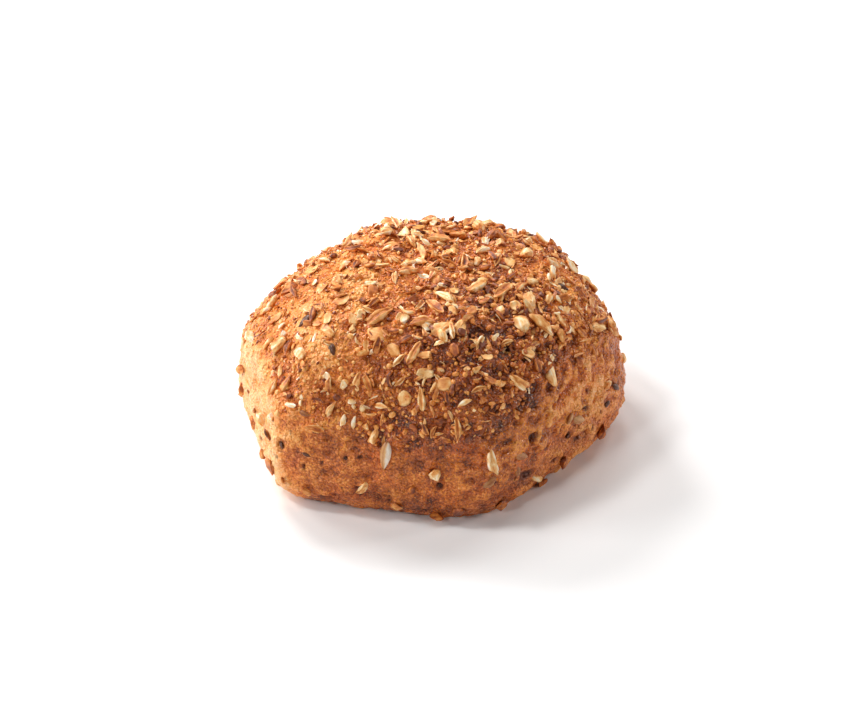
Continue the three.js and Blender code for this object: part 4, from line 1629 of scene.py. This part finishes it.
@dataclass
class Crust:
    """The crust itself: a ball of squares drawn onto the form, with its baked relief."""

    squares: int = 127
    ridge_polar: float = 104
    foot_polar: float = 152
    bare_from: float = 0.95
    full_depth: float = 0.5

    def ball(self) -> tuple[np.ndarray, np.ndarray]:
        """The vertices and squares of a ball made from the six faces of a cube."""
        steps = np.linspace(-1, 1, self.squares + 1)
        across, up = np.meshgrid(np.tan(steps * np.pi / 4), np.tan(steps * np.pi / 4), indexing="ij")
        ones = np.ones_like(across)
        sheets = [
            (across, up, ones),
            (up, across, -ones),
            (ones, across, up),
            (-ones, up, across),
            (up, ones, across),
            (across, -ones, up),
        ]
        points = np.concatenate([np.stack(sheet, -1).reshape(-1, 3) for sheet in sheets])
        whole, first = np.unique(np.round(points, 6), axis=0, return_inverse=True)
        first = first.ravel()
        side = self.squares + 1
        number = np.arange(side * side).reshape(side, side)
        corners = [number[:-1, :-1], number[1:, :-1], number[1:, 1:], number[:-1, 1:]]
        square = np.stack(corners, -1).reshape(-1, 4)
        faces = np.concatenate([first[square + k * side * side] for k in range(6)])
        return whole / np.linalg.norm(whole, axis=-1, keepdims=True), faces

    def build(self, mottle: bpy.types.NodeTree) -> bpy.types.Object:
        """Makes the crust.

        Args:
            mottle: The shared mottling group.

        Returns:
            The crust's piece.
        """
        spots, faces = self.ball()
        azimuth = np.degrees(np.arctan2(spots[:, 1], spots[:, 0]))
        polar = np.degrees(np.arccos(np.clip(spots[:, 2], -1, 1)))
        station = np.interp(polar, [0, self.ridge_polar, self.foot_polar, 180], [0, 1, 2, 3])
        here, axes = FORM.axes(azimuth, station)
        out = axes[:, :, 2]
        height = RELIEF.height(here, azimuth, station) * smooth_step(2.05, 1.95, station)
        points = here + out * height[:, None]
        points[:, 2] = np.maximum(points[:, 2], 0)
        mesh = bpy.data.meshes.new("crust")
        mesh.from_pydata(FORM.to_frame(points).tolist(), [], faces.tolist())
        mesh.shade_smooth()
        # the crust's darkness holds the baking and the painted light and shade of some patches
        bake_and_painted_light = BAKE.darkness(here, azimuth, station)
        store(mesh, "bake_and_painted_light", bake_and_painted_light)
        store(mesh, "cover", BAKE.cover(here, azimuth, station))
        # the relief's height drives painted light on the crust's peaks and painted shade in its hollows
        store(mesh, "depth", np.clip(height / self.full_depth, -1, 1))
        store(mesh, "glaze", BAKE.glaze(azimuth, station))
        # pores and the insides of pits are painted dark: painted shade in the hollows
        near, _ = RELIEF.pores(here)
        pore_and_pit_shade = (1 - smooth_step(0.3, 0.9, near)) * (station > self.bare_from)
        _, inside = pitted(here, azimuth, station)
        store(mesh, "pore_and_pit_shade", np.maximum(pore_and_pit_shade, 0.9 * smooth_step(0.2, 0.8, inside)))
        store(mesh, "stain", BAKE.stain(here, station, bake_and_painted_light))
        mesh.materials.append(CrustFinish().build(mottle))
        return as_piece("crust", mesh)


@dataclass
class Scatter:
    """Fine topping sown over the crust by a node tree: small chips or round granules.

    Sizes are in millimetres. The narrowest and widest shapes are shares of a granule's size. Lean is how
    far it may tip out of the crust, in radians, and the dimming how much darker it is on the darkest crust,
    which is dark from baking and from painted shade.
    """

    name: str
    per_square_metre: float
    smallest: float
    largest: float
    flatness: float
    ragged: float
    seed: int
    subdivisions: int = 1
    shades: tuple[float, float] = (0.3, 1.05)
    smooth: bool = False
    narrowest: tuple[float, float, float] = (0.75, 0.5, 1.0)
    widest: tuple[float, float, float] = (1.25, 1.0, 1.0)
    lean: float = 0.45
    bake_and_shade_dimming: float = 0.3

    def tree(self, material: bpy.types.Material) -> bpy.types.NodeTree:
        """Makes the node tree.

        Args:
            material: The finish of what is sown.

        Returns:
            The tree, with named inputs for its sizes.
        """
        tree = bpy.data.node_groups.new(self.name, "GeometryNodeTree")
        face = tree.interface
        face.new_socket("Geometry", in_out="INPUT", socket_type="NodeSocketGeometry")
        for name in ("Per square metre", "Smallest", "Largest", "Flatness", "Ragged", "Darkest", "Palest"):
            face.new_socket(name, in_out="INPUT", socket_type="NodeSocketFloat")
        face.new_socket("Seed", in_out="INPUT", socket_type="NodeSocketInt")
        face.new_socket("Geometry", in_out="OUTPUT", socket_type="NodeSocketGeometry")
        wiring = Wiring(tree)
        given = tree.nodes.new("NodeGroupInput").outputs
        attribute = {"data_type": "FLOAT"}
        cover = wiring.node("GeometryNodeInputNamedAttribute", attribute, Name="cover").outputs[0]
        bake_and_painted_light = wiring.node("GeometryNodeInputNamedAttribute", attribute, Name="bake_and_painted_light").outputs[0]
        sown = wiring.node(
            "GeometryNodeDistributePointsOnFaces",
            {"distribute_method": "RANDOM"},
            Mesh=given["Geometry"],
            Density=wiring.math("MULTIPLY", cover, given["Per square metre"]),
            Seed=given["Seed"],
        )
        chip = wiring.node("GeometryNodeMeshIcoSphere", Radius=0.5, Subdivisions=self.subdivisions)
        least, most = (-self.lean, -self.lean, -math.pi), (self.lean, self.lean, math.pi)
        spin = self.random_vector(wiring, least, most, given["Seed"], 1)
        turned = wiring.node(
            "FunctionNodeRotateRotation",
            {"rotation_space": "LOCAL"},
            Rotation=sown.outputs["Rotation"],
            Rotate_By=spin,
        )
        size = wiring.node("FunctionNodeRandomValue", {"data_type": "FLOAT"})
        tree.links.new(given["Smallest"], size.inputs[2])
        tree.links.new(given["Largest"], size.inputs[3])
        tree.links.new(given["Seed"], size.inputs["Seed"])
        shape = self.random_vector(wiring, self.narrowest, self.widest, given["Seed"], 2)
        flat = wiring.node("ShaderNodeCombineXYZ", X=1.0, Y=1.0, Z=given["Flatness"]).outputs[0]
        scale = wiring.node("ShaderNodeVectorMath", {"operation": "MULTIPLY"}, _0=shape, _1=flat).outputs[0]
        scale_node = wiring.node("ShaderNodeVectorMath", {"operation": "SCALE"}, _0=scale)
        tree.links.new(size.outputs[1], scale_node.inputs["Scale"])
        placed = wiring.node(
            "GeometryNodeInstanceOnPoints",
            Points=sown.outputs["Points"],
            Instance=chip.outputs["Mesh"],
            Rotation=turned.outputs[0],
            Scale=scale_node.outputs[0],
        )
        tint = wiring.node("FunctionNodeRandomValue", {"data_type": "FLOAT"})
        tree.links.new(given["Darkest"], tint.inputs[2])
        tree.links.new(given["Palest"], tint.inputs[3])
        tree.links.new(given["Seed"], tint.inputs["Seed"])
        dimmed = wiring.math("MULTIPLY", bake_and_painted_light, self.bake_and_shade_dimming)
        shade = wiring.math("SUBTRACT", tint.outputs[1], dimmed)
        kept = wiring.node(
            "GeometryNodeStoreNamedAttribute",
            {"data_type": "FLOAT", "domain": "INSTANCE"},
            Geometry=placed.outputs[0],
            Name="shade",
        )
        tree.links.new(shade, kept.inputs["Value"])
        real = wiring.node("GeometryNodeRealizeInstances", Geometry=kept.outputs[0])
        jolt = self.random_vector(wiring, (-1, -1, -1), (1, 1, 1), given["Seed"], 3)
        reach = wiring.node("ShaderNodeVectorMath", {"operation": "SCALE"}, _0=jolt)
        tree.links.new(wiring.math("MULTIPLY", given["Ragged"], given["Largest"]), reach.inputs["Scale"])
        broken = wiring.node("GeometryNodeSetPosition", Geometry=real.outputs[0], Offset=reach.outputs[0])
        whole = broken.outputs[0]
        shaded = wiring.node("GeometryNodeSetShadeSmooth", Geometry=whole, Shade_Smooth=self.smooth)
        dressed = wiring.node("GeometryNodeSetMaterial", Geometry=shaded.outputs[0], Material=material)
        out = tree.nodes.new("NodeGroupOutput").inputs
        tree.links.new(dressed.outputs[0], out["Geometry"])
        return tree

    @staticmethod
    def random_vector(
        wiring: Wiring, low: tuple, high: tuple, seed: object, salt: int
    ) -> bpy.types.NodeSocket:
        """A random vector for each element.

        Args:
            wiring: The tree that gets the nodes.
            low: The lowest vector.
            high: The highest vector.
            seed: The socket with the seed.
            salt: Tells apart the draws of one tree.

        Returns:
            The vector's socket.
        """
        node = wiring.node("FunctionNodeRandomValue", {"data_type": "FLOAT_VECTOR"}, _0=low, _1=high)
        wiring.tree.links.new(wiring.math("ADD", seed, float(salt)), node.inputs["Seed"])
        return node.outputs[0]

    def build(self, crust: bpy.types.Object, material: bpy.types.Material, slot: str) -> bpy.types.Object:
        """Sows the topping and keeps it as a plain mesh.

        Args:
            crust: The piece that it lies on.
            material: Its finish.
            slot: The record's material slot, which is not used here.

        Returns:
            The piece.
        """
        bed = bpy.data.objects.new("bed", crust.data.copy())
        bpy.context.scene.collection.objects.link(bed)
        tree = self.tree(material)
        modifier = bed.modifiers.new("sow", "NODES")
        modifier.node_group = tree
        values = {
            "Per square metre": self.per_square_metre,
            "Smallest": self.smallest * MM,
            "Largest": self.largest * MM,
            "Flatness": self.flatness,
            "Ragged": self.ragged,
            "Darkest": self.shades[0],
            "Palest": self.shades[1],
            "Seed": self.seed,
        }
        for item in tree.interface.items_tree:
            if item.in_out == "INPUT" and item.name in values:
                modifier[item.identifier] = values[item.name]
        bpy.context.view_layer.update()
        graph = bpy.context.evaluated_depsgraph_get()
        mesh = bpy.data.meshes.new_from_object(bed.evaluated_get(graph))
        mesh.name = self.name
        bed.modifiers.remove(modifier)
        bpy.data.objects.remove(bed)
        return as_piece(self.name, mesh)


def main() -> None:
    """Builds the studio and the roll, piece by piece."""
    logging.basicConfig(level=logging.INFO, format="%(message)s")
    Studio().build()
    mottle = mottle_group()
    crust = Crust().build(mottle)
    Toppings().build(mottle)
    grit = GrainFinish("fine_grit", TOASTED, roughness=0.5, uneven=0.3).build(mottle)
    beads = GrainFinish("amber_bead", AMBER, roughness=0.3, gloss=0.7, uneven=0.4, bump=0.3).build(mottle)
    bran = Scatter("bran_chips", 90000, 0.5, 1.3, flatness=0.4, ragged=0.16, seed=5)
    fine = Scatter("fine_beads", 640000, 0.6, 1.3, flatness=0.7, ragged=0.04, seed=9, smooth=True)
    coarse = Scatter(
        "granules",
        150000,
        1.0,
        1.8,
        flatness=0.7,
        ragged=0.03,
        seed=13,
        subdivisions=2,
        shades=(0.35, 1.05),
        smooth=True,
    )
    bran.build(crust, grit, "grain")
    fine.build(crust, beads, "grain")
    coarse.build(crust, beads, "grain")


if __name__ == "__main__":
    main()
